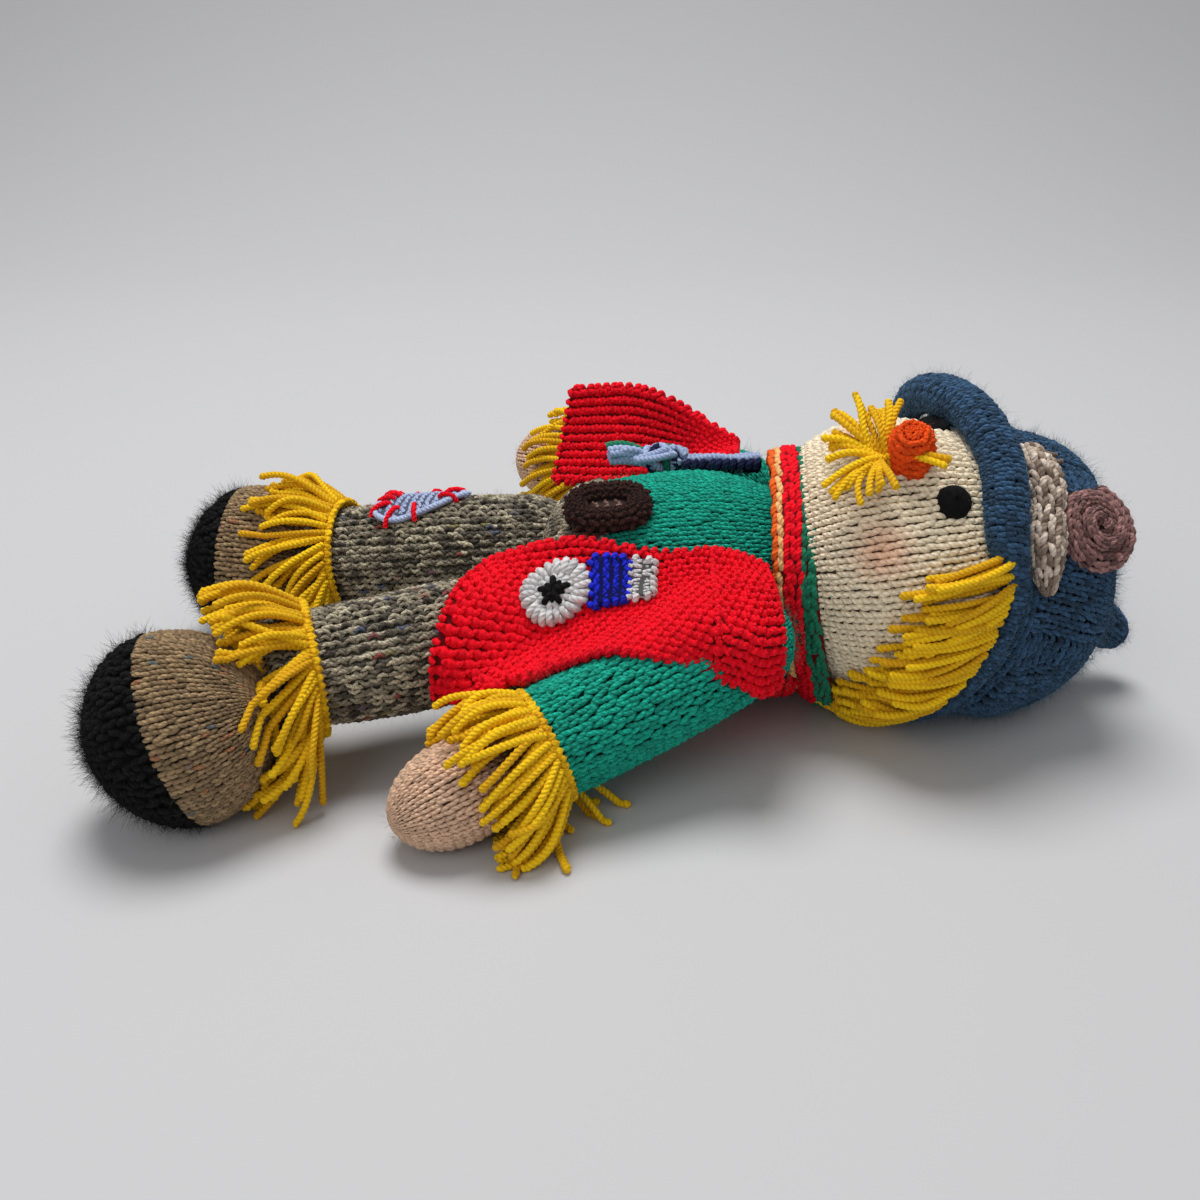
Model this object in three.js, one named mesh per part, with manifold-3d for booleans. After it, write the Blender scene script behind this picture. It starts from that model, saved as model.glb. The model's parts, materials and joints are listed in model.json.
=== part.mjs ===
// A knitted scarecrow doll lying on its back: stuffed body, head and limbs, loose clothes and yarn straw.
// Millimetres, +Z up. +X runs from the boots to the hat, and the doll's left side is towards -Y.

import * as THREE from 'three';
import { mergeVertices } from 'three/addons/utils/BufferGeometryUtils.js';
import Module from 'manifold-3d';

const wasm = await Module();
wasm.setup();

// Clearances
const SEWN_GAP = 0.35; // left between pieces that are sewn against each other
const DRAPE_GAP = 0.6; // left under loose cloth
const FLOOR_DIP = 0.5; // how deep a stuffed piece is pressed flat on what it lies on

// Torso, from the waist to the neck
const WAIST_AT = [2, 8, 36.4];
const NECK_AT = [57, 10, 40.5];
const TORSO_RADIUS = 35;
const TORSO_SWELL = 1.2; // of the belly, over the waist's size
const CHEST_RADIUS = 32;
const NECK_RADIUS = 25;
const BODY_ROLL = 23; // degrees that the front is turned towards the doll's left

// Trousers seat, below the waist
const SEAT_LENGTH = 20;
const SEAT_RADIUS = 36;

// Legs, from the hip to the ankle
const LEFT_HIP_AT = [-22, -15, 33];
const RIGHT_HIP_AT = [-22, 28, 39];
const LEFT_LEG_DIRECTION = [-0.945, -0.325, -0.03];
const RIGHT_LEG_DIRECTION = [-0.98, 0.15, -0.125];
const LEG_LENGTH = 72;
const HIP_RADIUS = 16.8;
const THIGH_RADIUS = 17.4;
const ANKLE_RADIUS = 15.2;
const HIP_BEND = 60; // degrees that a leg lifts

// Boots: the toes point up and outwards
const LEFT_BOOT_AT = [-110, -57, 26.2];
const RIGHT_BOOT_AT = [-111, 42, 26.4];
const LEFT_SOLE_DIRECTION = [-0.96, -0.08, -0.26];
const RIGHT_SOLE_DIRECTION = [-0.98, 0.14, 0.02];
const BOOT_HALF_LENGTH = 26.7; // heel to toe
const BOOT_HALF_WIDTH = 23.5;
const BOOT_HALF_HEIGHT = 24.5; // sole to instep
const LEFT_SOLE_FROM = 1; // from the boot's centre to the edge of the sole
const RIGHT_SOLE_FROM = 8;

// Ankle straw
const ANKLE_STRAW_FROM = 62; // along the leg
const ANKLE_STRAW_LENGTH = 27;
const ANKLE_STRAW_SPREAD = 11;
const ANKLE_STRAW_EASE = 1.6; // between the leg and its band
const STRAW_BAND = 3.2;

// Knee patch on the right leg
const PATCH_ALONG = 33;
const PATCH_RADIUS = 15;
const PATCH_THICKNESS = 1.6;

// Arms, from the shoulder to the middle of the hand
const LEFT_SHOULDER_AT = [38.8, -32.5, 38];
const RIGHT_SHOULDER_AT = [44, 47.5, 48.5];
const LEFT_ARM_DIRECTION = [-0.867, -0.418, -0.272];
const RIGHT_ARM_DIRECTION = [-0.68, 0.72, -0.14];
const ARM_LENGTH = 92;
const RIGHT_SWING_IN = 15; // degrees that the right arm swings towards the body
const SHOULDER_RADIUS = 15;
const SLEEVE_RADIUS = 16;
const WRIST_RADIUS = 12.2;
const SLEEVE_LENGTH = 70;
const HAND_RADIUS = 13.6;
const HAND_HALF_LENGTH = 20;

// Cuff straw
const CUFF_STRAW_FROM = 63; // along the arm
const CUFF_STRAW_LENGTH = 22;
const CUFF_STRAW_SPREAD = 4;

// Head, on an axis that rises from the neck
const HEAD_AT = [90, 6.5, 47.5];
const HEAD_RADIUS = 43.5;
const FACE_ROLL = 32; // degrees that the face is turned towards the doll's left

// Face
const EYE_RADIUS = 4.2;
const EYE_THICKNESS = 2.6;
const EYE_TURN = 15.5; // degrees that each eye lies beside the nose
const EYE_RISE = 19; // degrees above the middle of the head
const NOSE_RISE = 6;
const NOSE_RADIUS = 7;
const NOSE_TIP_RADIUS = 4.4;
const NOSE_LENGTH = 12.5;
const MOUSTACHE_RISE = -2;
const MOUSTACHE_RADIUS = 9.5;
const MOUSTACHE_THICKNESS = 5;

// Hat: its axis leans from the head's axis towards the back of the head
const HAT_LEAN = 35;
const RIM_RISE = 13; // from the middle of the head to the rim, along the hat
const HAT_RADIUS = 47;
const HAT_LENGTH = 51;
const HAT_THICKNESS = 3.4;
const HAT_SAG = [7, 3]; // of the soft tip, towards the doll's left and its front
const HAT_DENT = 5.5; // of the crown behind the brim, at the front
const DENT_ALONG = 9; // from the rim to the dent, and its reach
const BRIM_RADIUS = 7; // of the rolled brim over the face
const BRIM_BACK_RADIUS = 2.6;
const BRIM_DROP = 5; // how far the brim dips over the forehead
const TIP_RADIUS = 7;
const TIP_LENGTH = 18;

// Straw hair under the rim
const HAIR_WIDTH = 17;
const HAIR_THICKNESS = 4;
const HAIR_START = 42; // degrees from the middle of the face
const HAIR_END = 158;
const HAIR_ROOM = 4.5; // kept to the scarf, for the head to turn

// Knitted snail on the hat
const SNAIL_TURN = 14; // degrees from the front of the hat towards the doll's left
const SNAIL_ALONG = 12; // from the rim, along the hat
const SNAIL_LENGTH = 42;
const SNAIL_WIDTH = 11;
const SNAIL_HEIGHT = 6;
const SHELL_RADIUS = 14.5;
const SHELL_THICKNESS = 10;

// Waistcoat
const CLOTH = 2.2;
const SHOULDER_COVER = 22; // reach of the cloth over the shoulder
const CLOTH_SLOPE = 52; // degrees at which cloth falls away from what it lies over
const CLOTH_BLEND = 1.6; // how softly it passes from one piece to the next
const BACK_LENGTH = 46;
const BACK_START = 6; // from the waist
const BACK_LEFT_EDGE = 78; // degrees round from the back, on the left side
const BACK_RIGHT_EDGE = 96;
const LEFT_HEM = [[-32, -10], [-39, -25], [-44, -40]];
const LEFT_OPENING = [[-32, -10], [-11, -17], [10, -20], [31, -18]];
const LEFT_EDGE = [[-44, -40], [-14, -48], [9, -49], [31, -46]];
const SHOULDER_OPENING = [[31, -18], [42, -15], [52, -17]];
const SHOULDER_EDGE = [[31, -46], [40, -50], [51, -43]];
const RIGHT_HEM = [[-15, 46, 54.5], [-9, 61, 81]]; // the free lower and upper corners
const RIGHT_SEAM_TO = 24; // from the waist, where the side seam ends
const RIGHT_NECK_END = [[42, 32.2, 69], [43, 41.5, 70.5]];
const RIGHT_OPENING_AT = [16, 56, 82]; // the middle of the free edge

// Medal on the left front: a disc, its centre, a ribbon and a bar
const MEDAL_AT = [-12, -27];
const MEDAL_DEPTH_SHARE = 0.68; // the plan's share of a size that runs down the cloth
const MEDAL_RADIUS = 9.6;
const MEDAL_CENTRE_RADIUS = 4.2;
const MEDAL_THICKNESS = 1.8;
const RIBBON_LENGTH = 10;
const RIBBON_WIDTH = 15;
const BAR_LENGTH = 6.5;

// Buckle at the waist
const BUCKLE_ALONG = 2;
const BUCKLE_TURN = 5; // degrees from the middle of the front
const BUCKLE_HALF_LENGTH = 13;
const BUCKLE_HALF_WIDTH = 8.6;
const BUCKLE_BAR = 5.2;
const BUCKLE_THICKNESS = 3.4;

// Scarf
const SCARF_THICKNESS = 3.6;
const SCARF_WIDTH = 12.5;
const SCARF_START = -6; // from the neck, along the scarf's axis
const SCARF_DIRECTION = [1, -0.08, 0.03];
const TAIL_WIDTH = 13;
const TAIL_PATH = [[48, 23.5], [36, 24], [25, 24.5]];
const KNOT_AT = [20, 25];
const KNOT_RADIUS = 4.6;
const SCARF_FRINGE_LENGTH = 15;
const SCARF_FRINGE_WIDTH = 11;
const FRINGE_ROOT_SHARE = 0.35; // half its width at the knot, as a share of its width

// How finely round pieces are divided
const SIDES = 18;
const FINE_SIDES = 24;
const STATIONS = 7;
const CROWN_STATIONS = 12;
const WELD = 1e-4;
const FAR = 1000;

const UP = new THREE.Vector3(0, 0, 1);
const DEGREE = Math.PI / 180;
const point = (values) => new THREE.Vector3(...values);

// Frames: a group whose Y axis runs along a limb and whose Z axis is the limb's front
function frameAlong(from, direction, front) {
  const along = direction.clone().normalize();
  const out = front.clone().addScaledVector(along, -front.dot(along)).normalize();
  const side = new THREE.Vector3().crossVectors(along, out);
  const group = new THREE.Group();
  group.position.copy(from);
  group.quaternion.setFromRotationMatrix(new THREE.Matrix4().makeBasis(side, along, out));
  group.updateMatrix();
  return group;
}

function frontTurned(degrees) {
  return new THREE.Vector3(0, -Math.sin(degrees * DEGREE), Math.cos(degrees * DEGREE));
}

// Closed meshes, and the cuts between them
function welded(geometry) {
  const bare = geometry.clone();
  bare.deleteAttribute('normal');
  bare.deleteAttribute('uv');
  const merged = mergeVertices(bare, WELD);
  const kept = [];
  const { array } = merged.index;
  for (let i = 0; i < array.length; i += 3) {
    const [a, b, c] = [array[i], array[i + 1], array[i + 2]];
    if (a !== b && b !== c && c !== a) kept.push(a, b, c);
  }
  merged.setIndex(kept);
  return merged;
}

function solidOf(geometry) {
  const shell = welded(geometry);
  return new wasm.Manifold(new wasm.Mesh({
    numProp: 3,
    vertProperties: new Float32Array(shell.attributes.position.array),
    triVerts: new Uint32Array(shell.index.array),
  }));
}

function geometryOf(solid) {
  const mesh = solid.getMesh();
  const geometry = new THREE.BufferGeometry();
  geometry.setAttribute('position', new THREE.BufferAttribute(new Float32Array(mesh.vertProperties), 3));
  geometry.setIndex(new THREE.BufferAttribute(new Uint32Array(mesh.triVerts), 1));
  return geometry;
}

function cut(geometry, ...tools) {
  return geometryOf(tools.reduce((solid, tool) => solid.subtract(solidOf(tool)), solidOf(geometry)));
}

function common(geometry, tool) {
  return geometryOf(solidOf(geometry).intersect(solidOf(tool)));
}

function grown(geometry, gap) {
  const shell = welded(geometry);
  shell.computeVertexNormals();
  const { position, normal } = shell.attributes;
  for (let i = 0; i < position.count; i += 1) {
    position.setXYZ(
      i,
      position.getX(i) + gap * normal.getX(i),
      position.getY(i) + gap * normal.getY(i),
      position.getZ(i) + gap * normal.getZ(i),
    );
  }
  return shell;
}

function carried(geometry, from, to) {
  const matrix = to.matrix.clone().invert().multiply(from.matrix);
  return geometry.clone().applyMatrix4(matrix);
}

const world = new THREE.Group();

function aboveFloor(geometry, group) {
  const floor = new THREE.BoxGeometry(FAR, FAR, FAR).translate(0, 0, -FAR / 2);
  return cut(geometry, carried(floor, world, group));
}

// Revolved pieces: a smooth profile of [radius, along] stations, closed on the axis at both ends
function revolved(stations, sides = SIDES, steps = STATIONS) {
  const curve = new THREE.SplineCurve(stations.map(([r, y]) => new THREE.Vector2(r, y)));
  const side = curve.getPoints(steps).map((p) => new THREE.Vector2(Math.max(p.x, 0), p.y));
  const start = new THREE.Vector2(0, stations[0][1]);
  const end = new THREE.Vector2(0, stations[stations.length - 1][1]);
  return new THREE.LatheGeometry([start, ...side, end], sides);
}

function ball(radius, sides = SIDES) {
  return new THREE.SphereGeometry(radius, sides, sides / 2);
}

// A round end about the joint, then a smooth limb to its far end
function limb(jointRadius, stations, sides = SIDES) {
  const end = stations[stations.length - 1];
  const cap = [];
  const capSteps = 5;
  for (let i = 0; i < capSteps; i += 1) {
    const angle = (i / capSteps) * (Math.PI / 2);
    cap.push(new THREE.Vector2(jointRadius * Math.sin(angle), -jointRadius * Math.cos(angle)));
  }
  const points = [[jointRadius, 0], ...stations].map(([r, y]) => new THREE.Vector2(r, y));
  const limbSide = new THREE.SplineCurve(points).getPoints(STATIONS);
  return new THREE.LatheGeometry([...cap, ...limbSide, new THREE.Vector2(0, end[1])], sides);
}

// A flared skirt of straw round a limb, tight at its band and wide at its far end
function strawSkirt(radius, from, length, spread) {
  const profile = [
    [radius + SEWN_GAP, from],
    [radius + SEWN_GAP + STRAW_BAND, from],
    [radius + STRAW_BAND + spread * 0.6, from + length * 0.4],
    [radius + STRAW_BAND + spread, from + length * 0.8],
    [radius + STRAW_BAND + spread * 0.9, from + length],
    [radius + spread * 0.4, from + length * 0.7],
    [radius + SEWN_GAP, from + length * 0.3],
    [radius + SEWN_GAP, from],
  ];
  return new THREE.LatheGeometry(profile.map(([r, y]) => new THREE.Vector2(r, y)), SIDES);
}

// A slab of cloth: a grid of points on its middle surface, thickened along the surface's normals
function slab(surface, columns, rows, thickness) {
  const step = 1e-3;
  const positions = [];
  const middle = (i, j) => surface(i / columns, j / rows);
  const normalAt = (i, j) => {
    const [u, v] = [Math.min(i / columns, 1 - step), Math.min(j / rows, 1 - step)];
    const here = surface(u, v);
    const alongU = surface(u + step, v).sub(here);
    const alongV = surface(u, v + step).sub(here);
    return alongU.cross(alongV).normalize();
  };
  for (const side of [1, -1]) {
    for (let j = 0; j <= rows; j += 1) {
      for (let i = 0; i <= columns; i += 1) {
        const at = middle(i, j).addScaledVector(normalAt(i, j), (side * thickness) / 2);
        positions.push(at.x, at.y, at.z);
      }
    }
  }
  const across = columns + 1;
  const under = across * (rows + 1);
  const index = [];
  const quad = (a, b, c, d) => index.push(a, b, c, a, c, d);
  for (let j = 0; j < rows; j += 1) {
    for (let i = 0; i < columns; i += 1) {
      const a = j * across + i;
      quad(a, a + 1, a + 1 + across, a + across);
      quad(under + a, under + a + across, under + a + 1 + across, under + a + 1);
    }
  }
  for (let i = 0; i < columns; i += 1) {
    const far = rows * across + i;
    quad(i, under + i, under + i + 1, i + 1);
    quad(far, far + 1, under + far + 1, under + far);
  }
  for (let j = 0; j < rows; j += 1) {
    const a = j * across;
    const b = a + columns;
    quad(a, a + across, under + a + across, under + a);
    quad(b, under + b, under + b + across, b + across);
  }
  const geometry = new THREE.BufferGeometry();
  geometry.setAttribute('position', new THREE.Float32BufferAttribute(positions, 3));
  geometry.setIndex(index);
  return geometry;
}

// Looks
const LOOKS = {
  greenWool: { color: 0x14966f, roughness: 0.9 },
  tweed: { color: 0x7d7363, roughness: 0.95 },
  bootTweed: { color: 0x8c765c, roughness: 0.95 },
  soleWool: { color: 0x141414, roughness: 1 },
  straw: { color: 0xf0be14, roughness: 0.85 },
  skin: { color: 0xc3a591, roughness: 0.9 },
  face: { color: 0xd6cbb4, roughness: 0.9 },
  felt: { color: 0x0c0c0c, roughness: 1 },
  carrot: { color: 0xf5551a, roughness: 0.85 },
  denim: { color: 0x3c648c, roughness: 0.95 },
  snailBody: { color: 0xb4a594, roughness: 0.9 },
  snailShell: { color: 0x78504b, roughness: 0.9 },
  red: { color: 0xd70514, roughness: 0.85 },
  medal: { color: 0xd7d5d2, roughness: 0.9 },
  ribbon: { color: 0x192dc8, roughness: 0.85 },
  buckle: { color: 0x321c16, roughness: 0.95 },
  buckleCentre: { color: 0x967369, roughness: 0.9 },
  scarf: { color: 0xd7261e, roughness: 0.85 },
  scarfTail: { color: 0x6f7fb0, roughness: 0.85 },
  patch: { color: 0xafbee1, roughness: 0.85 },
};

const doll = new THREE.Group();

function add(group, name, geometry, look) {
  const shown = geometry.index ? geometry.toNonIndexed() : geometry;
  shown.computeVertexNormals();
  const mesh = new THREE.Mesh(shown, new THREE.MeshStandardMaterial({ ...LOOKS[look], metalness: 0 }));
  mesh.name = name;
  group.add(mesh);
  if (!group.parent) doll.add(group);
}

// Frames of the body, the head and the limbs
const waist = point(WAIST_AT);
const neck = point(NECK_AT);
const TORSO_LENGTH = waist.distanceTo(neck);
const torsoFrame = frameAlong(waist, neck.clone().sub(waist), frontTurned(BODY_ROLL));
const scarfFrame = frameAlong(neck, point(SCARF_DIRECTION), frontTurned(BODY_ROLL));
const headCentre = point(HEAD_AT);
const headFrame = frameAlong(neck, headCentre.clone().sub(neck), frontTurned(FACE_ROLL));
const HEAD_RISE = neck.distanceTo(headCentre);

const limbFrame = (at, direction) => frameAlong(point(at), point(direction), UP);
const legs = {
  left: limbFrame(LEFT_HIP_AT, LEFT_LEG_DIRECTION),
  right: limbFrame(RIGHT_HIP_AT, RIGHT_LEG_DIRECTION),
};
const boots = {
  left: limbFrame(LEFT_BOOT_AT, LEFT_SOLE_DIRECTION),
  right: limbFrame(RIGHT_BOOT_AT, RIGHT_SOLE_DIRECTION),
};
const arms = {
  left: limbFrame(LEFT_SHOULDER_AT, LEFT_ARM_DIRECTION),
  right: limbFrame(RIGHT_SHOULDER_AT, RIGHT_ARM_DIRECTION),
};

// Stuffed limbs
const legShape = limb(HIP_RADIUS, [
  [THIGH_RADIUS, LEG_LENGTH * 0.3],
  [THIGH_RADIUS - 0.6, LEG_LENGTH * 0.65],
  [ANKLE_RADIUS, LEG_LENGTH],
]);
const sleeveShape = limb(SHOULDER_RADIUS, [
  [SLEEVE_RADIUS, SLEEVE_LENGTH * 0.35],
  [SLEEVE_RADIUS - 1, SLEEVE_LENGTH * 0.7],
  [WRIST_RADIUS, SLEEVE_LENGTH],
]);

// The room that the arms take, at rest and with the right one swung in, in another piece's frame
function armsIn(frame) {
  const room = grown(sleeveShape, 2 * SEWN_GAP);
  const swungIn = carried(room, arms.right, world)
    .translate(...RIGHT_SHOULDER_AT.map((value) => -value))
    .rotateZ(RIGHT_SWING_IN * DEGREE)
    .translate(...RIGHT_SHOULDER_AT);
  return [
    carried(room, arms.left, frame),
    carried(room, arms.right, frame),
    carried(swungIn, world, frame),
  ];
}

// Torso, with a hollow at each shoulder for the round top of the arm
function torsoShape() {
  return revolved([
    [TORSO_RADIUS - 1, 0],
    [TORSO_RADIUS, TORSO_LENGTH * 0.3],
    [CHEST_RADIUS + TORSO_SWELL, TORSO_LENGTH * 0.65],
    [(CHEST_RADIUS + NECK_RADIUS) / 2, TORSO_LENGTH * 0.88],
    [NECK_RADIUS, TORSO_LENGTH - SEWN_GAP],
  ], FINE_SIDES);
}

function addTorso() {
  const headThere = carried(headShape(2 * SEWN_GAP), headFrame, torsoFrame);
  const hollowed = cut(torsoShape(), ...armsIn(torsoFrame), headThere);
  add(torsoFrame, 'sweater_torso', aboveFloor(hollowed, torsoFrame), 'greenWool');
}

// Trousers seat, scooped where the legs turn up
function seatShape() {
  return revolved([
    [2, -SEAT_LENGTH],
    [SEAT_RADIUS * 0.6, -SEAT_LENGTH * 0.88],
    [SEAT_RADIUS * 0.93, -SEAT_LENGTH * 0.45],
    [SEAT_RADIUS, -SEWN_GAP],
  ], FINE_SIDES);
}

function addSeat() {
  const scoops = [];
  const bends = 5;
  const reach = new THREE.CylinderGeometry(THIGH_RADIUS, THIGH_RADIUS, SEAT_RADIUS * 2, SIDES)
    .translate(0, SEAT_RADIUS, 0);
  for (const leg of Object.values(legs)) {
    scoops.push(carried(ball(THIGH_RADIUS + SEWN_GAP), leg, torsoFrame));
    for (let i = 0; i <= bends; i += 1) {
      const bent = grown(reach, 2 * SEWN_GAP).rotateX((i / bends) * HIP_BEND * DEGREE);
      scoops.push(carried(bent, leg, torsoFrame));
    }
  }
  add(torsoFrame, 'trousers_seat', aboveFloor(cut(seatShape(), ...scoops), torsoFrame), 'tweed');
}

// Legs, boots and ankle straw
function bootShape(grow = 0) {
  const halves = [BOOT_HALF_WIDTH, BOOT_HALF_HEIGHT, BOOT_HALF_LENGTH].map((half) => half + grow);
  return ball(1, FINE_SIDES).scale(...halves);
}

function halfSpace(from, direction) {
  return new THREE.BoxGeometry(FAR, FAR, FAR).translate(0, from + (direction * FAR) / 2, 0);
}

function addLeg(side) {
  const leg = legs[side];
  const boot = boots[side];
  const soleFrom = side === 'left' ? LEFT_SOLE_FROM : RIGHT_SOLE_FROM;
  add(leg, `${side}_leg`, legShape, 'tweed');

  const legInBoot = carried(grown(legShape, SEWN_GAP), leg, boot);
  const upper = cut(bootShape(), legInBoot, halfSpace(soleFrom, 1));
  add(boot, `${side}_boot`, aboveFloor(upper, boot), 'bootTweed');
  const sole = cut(bootShape(FLOOR_DIP), halfSpace(soleFrom + SEWN_GAP, -1));
  add(boot, `${side}_sole`, aboveFloor(sole, boot), 'soleWool');

  const bandRadius = ANKLE_RADIUS + ANKLE_STRAW_EASE;
  const skirt = strawSkirt(bandRadius, ANKLE_STRAW_FROM, ANKLE_STRAW_LENGTH, ANKLE_STRAW_SPREAD);
  const bootInLeg = carried(grown(bootShape(), 2 * SEWN_GAP), boot, leg);
  const straw = cut(skirt, bootInLeg, grown(legShape, SEWN_GAP));
  add(leg, `${side}_ankle_straw`, aboveFloor(straw, leg), 'straw');
}

function addKneePatch() {
  const outline = new THREE.Shape();
  outline.moveTo(0, -PATCH_RADIUS);
  outline.quadraticCurveTo(PATCH_RADIUS * 0.9, -PATCH_RADIUS * 0.3, PATCH_RADIUS, PATCH_RADIUS * 0.35);
  outline.quadraticCurveTo(PATCH_RADIUS * 0.9, PATCH_RADIUS, PATCH_RADIUS * 0.25, PATCH_RADIUS * 0.8);
  outline.quadraticCurveTo(0, PATCH_RADIUS * 0.7, -PATCH_RADIUS * 0.25, PATCH_RADIUS * 0.8);
  outline.quadraticCurveTo(-PATCH_RADIUS * 0.9, PATCH_RADIUS, -PATCH_RADIUS, PATCH_RADIUS * 0.35);
  outline.quadraticCurveTo(-PATCH_RADIUS * 0.9, -PATCH_RADIUS * 0.3, 0, -PATCH_RADIUS);
  const settings = { depth: FAR / 10, bevelEnabled: false, curveSegments: 4 };
  const block = new THREE.ExtrudeGeometry(outline, settings).translate(0, PATCH_ALONG, 0);
  const skin = cut(grown(legShape, SEWN_GAP + PATCH_THICKNESS), grown(legShape, SEWN_GAP));
  add(legs.right, 'knee_patch', common(skin, block), 'patch');
}

// Arms, hands and cuff straw
function addArm(side) {
  const arm = arms[side];
  add(arm, `${side}_sleeve`, sleeveShape, 'greenWool');
  const hand = ball(1).scale(HAND_RADIUS, HAND_HALF_LENGTH, HAND_RADIUS).translate(0, ARM_LENGTH - 5, 0);
  const bareHand = cut(hand, grown(sleeveShape, SEWN_GAP));
  add(arm, `${side}_hand`, aboveFloor(bareHand, arm), 'skin');
  const skirt = strawSkirt(WRIST_RADIUS + 1.2, CUFF_STRAW_FROM, CUFF_STRAW_LENGTH, CUFF_STRAW_SPREAD);
  const straw = cut(skirt, grown(hand, 2 * SEWN_GAP), grown(sleeveShape, SEWN_GAP));
  add(arm, `${side}_cuff_straw`, aboveFloor(straw, arm), 'straw');
}

// Head: a stuffed ball, flat where it is sewn to the neck
function headShape(grow = 0) {
  const radius = HEAD_RADIUS + grow;
  const arc = [];
  const steps = 10;
  const start = Math.asin((HEAD_RISE - SEWN_GAP + grow) / radius);
  for (let i = 0; i <= steps; i += 1) {
    const angle = -start + ((start + Math.PI / 2) * i) / steps;
    arc.push(new THREE.Vector2(radius * Math.cos(angle), HEAD_RISE + radius * Math.sin(angle)));
  }
  arc[steps].x = 0;
  return new THREE.LatheGeometry([new THREE.Vector2(0, arc[0].y), ...arc], FINE_SIDES);
}

// A frame that stands on the head, turned from the face's middle and raised from the head's middle
function onHead(turn, rise) {
  const direction = new THREE.Vector3(0, 0, 1)
    .applyAxisAngle(new THREE.Vector3(1, 0, 0), -rise * DEGREE)
    .applyAxisAngle(new THREE.Vector3(0, 1, 0), turn * DEGREE);
  const at = new THREE.Vector3(0, HEAD_RISE, 0).addScaledVector(direction, HEAD_RADIUS);
  const towardsHat = new THREE.Vector3(0, 1, 0);
  const local = frameAlong(at, direction, towardsHat);
  local.applyMatrix4(headFrame.matrix);
  local.updateMatrix();
  return local;
}

function addFace() {
  const clearHead = headShape(SEWN_GAP);
  const eyes = { left: EYE_TURN, right: -EYE_TURN };
  for (const [side, turn] of Object.entries(eyes)) {
    const frame = onHead(turn, EYE_RISE);
    const button = ball(1).scale(EYE_RADIUS, EYE_THICKNESS, EYE_RADIUS);
    add(frame, `${side}_eye`, cut(button, carried(clearHead, headFrame, frame)), 'felt');
  }

  const noseFrame = onHead(0, NOSE_RISE);
  const nose = revolved([
    [NOSE_RADIUS, -4],
    [NOSE_RADIUS, 2],
    [(NOSE_RADIUS + NOSE_TIP_RADIUS) / 2 + 0.5, NOSE_LENGTH * 0.5],
    [NOSE_TIP_RADIUS, NOSE_LENGTH * 0.93],
    [1, NOSE_LENGTH],
  ]);
  add(noseFrame, 'nose', cut(nose, carried(clearHead, headFrame, noseFrame)), 'carrot');

  const tuftFrame = onHead(0, MOUSTACHE_RISE);
  const tuft = ball(1).scale(MOUSTACHE_RADIUS, MOUSTACHE_THICKNESS, MOUSTACHE_RADIUS * 0.8);
  const noseBeside = carried(grown(nose, SEWN_GAP), noseFrame, tuftFrame);
  add(tuftFrame, 'moustache', cut(tuft, carried(clearHead, headFrame, tuftFrame), noseBeside), 'straw');
}

// Hat: a floppy knitted crown, a rolled brim over the face and a tip
const hatDirection = new THREE.Vector3(0, Math.cos(HAT_LEAN * DEGREE), -Math.sin(HAT_LEAN * DEGREE));
const hatFrame = (() => {
  const at = new THREE.Vector3(0, HEAD_RISE, 0).addScaledVector(hatDirection, RIM_RISE);
  const frame = frameAlong(at, hatDirection, new THREE.Vector3(0, 0, 1));
  frame.applyMatrix4(headFrame.matrix);
  frame.updateMatrix();
  return frame;
})();

function sagged(geometry) {
  const { position } = geometry.attributes;
  for (let i = 0; i < position.count; i += 1) {
    const share = Math.max(position.getY(i) / HAT_LENGTH, 0) ** 2;
    position.setX(i, position.getX(i) + HAT_SAG[0] * share);
    position.setZ(i, position.getZ(i) + HAT_SAG[1] * share);
  }
  return geometry;
}

function dented(geometry) {
  const { position } = geometry.attributes;
  for (let i = 0; i < position.count; i += 1) {
    const [x, y, z] = [position.getX(i), position.getY(i), position.getZ(i)];
    const radius = Math.max(Math.hypot(x, z), 1);
    const front = Math.max(z / radius, 0) ** 2;
    const depth = HAT_DENT * front * Math.exp(-(((y - DENT_ALONG) / DENT_ALONG) ** 2));
    position.setXYZ(i, x * (1 - depth / radius), y, z * (1 - depth / radius));
  }
  return geometry;
}

function crownShape(shrink = 0) {
  const radius = HAT_RADIUS - shrink;
  const length = HAT_LENGTH - shrink;
  return sagged(dented(revolved([
    [radius - 1, shrink ? -shrink : 0],
    [radius, length * 0.16],
    [radius * 0.95, length * 0.4],
    [radius * 0.85, length * 0.64],
    [radius * 0.61, length * 0.86],
    [radius * 0.2, length],
  ], FINE_SIDES, CROWN_STATIONS)));
}

function brimShape(grow = 0) {
  const around = 28;
  const section = 7;
  const positions = [];
  const index = [];
  for (let i = 0; i < around; i += 1) {
    const angle = (i / around) * 2 * Math.PI;
    const front = Math.pow((1 + Math.cos(angle)) / 2, 1.5);
    const roll = BRIM_BACK_RADIUS + (BRIM_RADIUS - BRIM_BACK_RADIUS) * front + grow;
    const out = HAT_RADIUS - 1 + roll * 0.4;
    const drop = -roll - SEWN_GAP - BRIM_DROP * front * front;
    for (let j = 0; j < section; j += 1) {
      const turn = (j / section) * 2 * Math.PI;
      const r = out + roll * Math.cos(turn);
      positions.push(r * Math.sin(angle), drop + roll * Math.sin(turn), r * Math.cos(angle));
      const [ni, nj] = [(i + 1) % around, (j + 1) % section];
      const [a, b, c, d] = [i * section + j, ni * section + j, ni * section + nj, i * section + nj];
      index.push(a, b, c, a, c, d);
    }
  }
  const geometry = new THREE.BufferGeometry();
  geometry.setAttribute('position', new THREE.Float32BufferAttribute(positions, 3));
  geometry.setIndex(index);
  return geometry;
}

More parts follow.
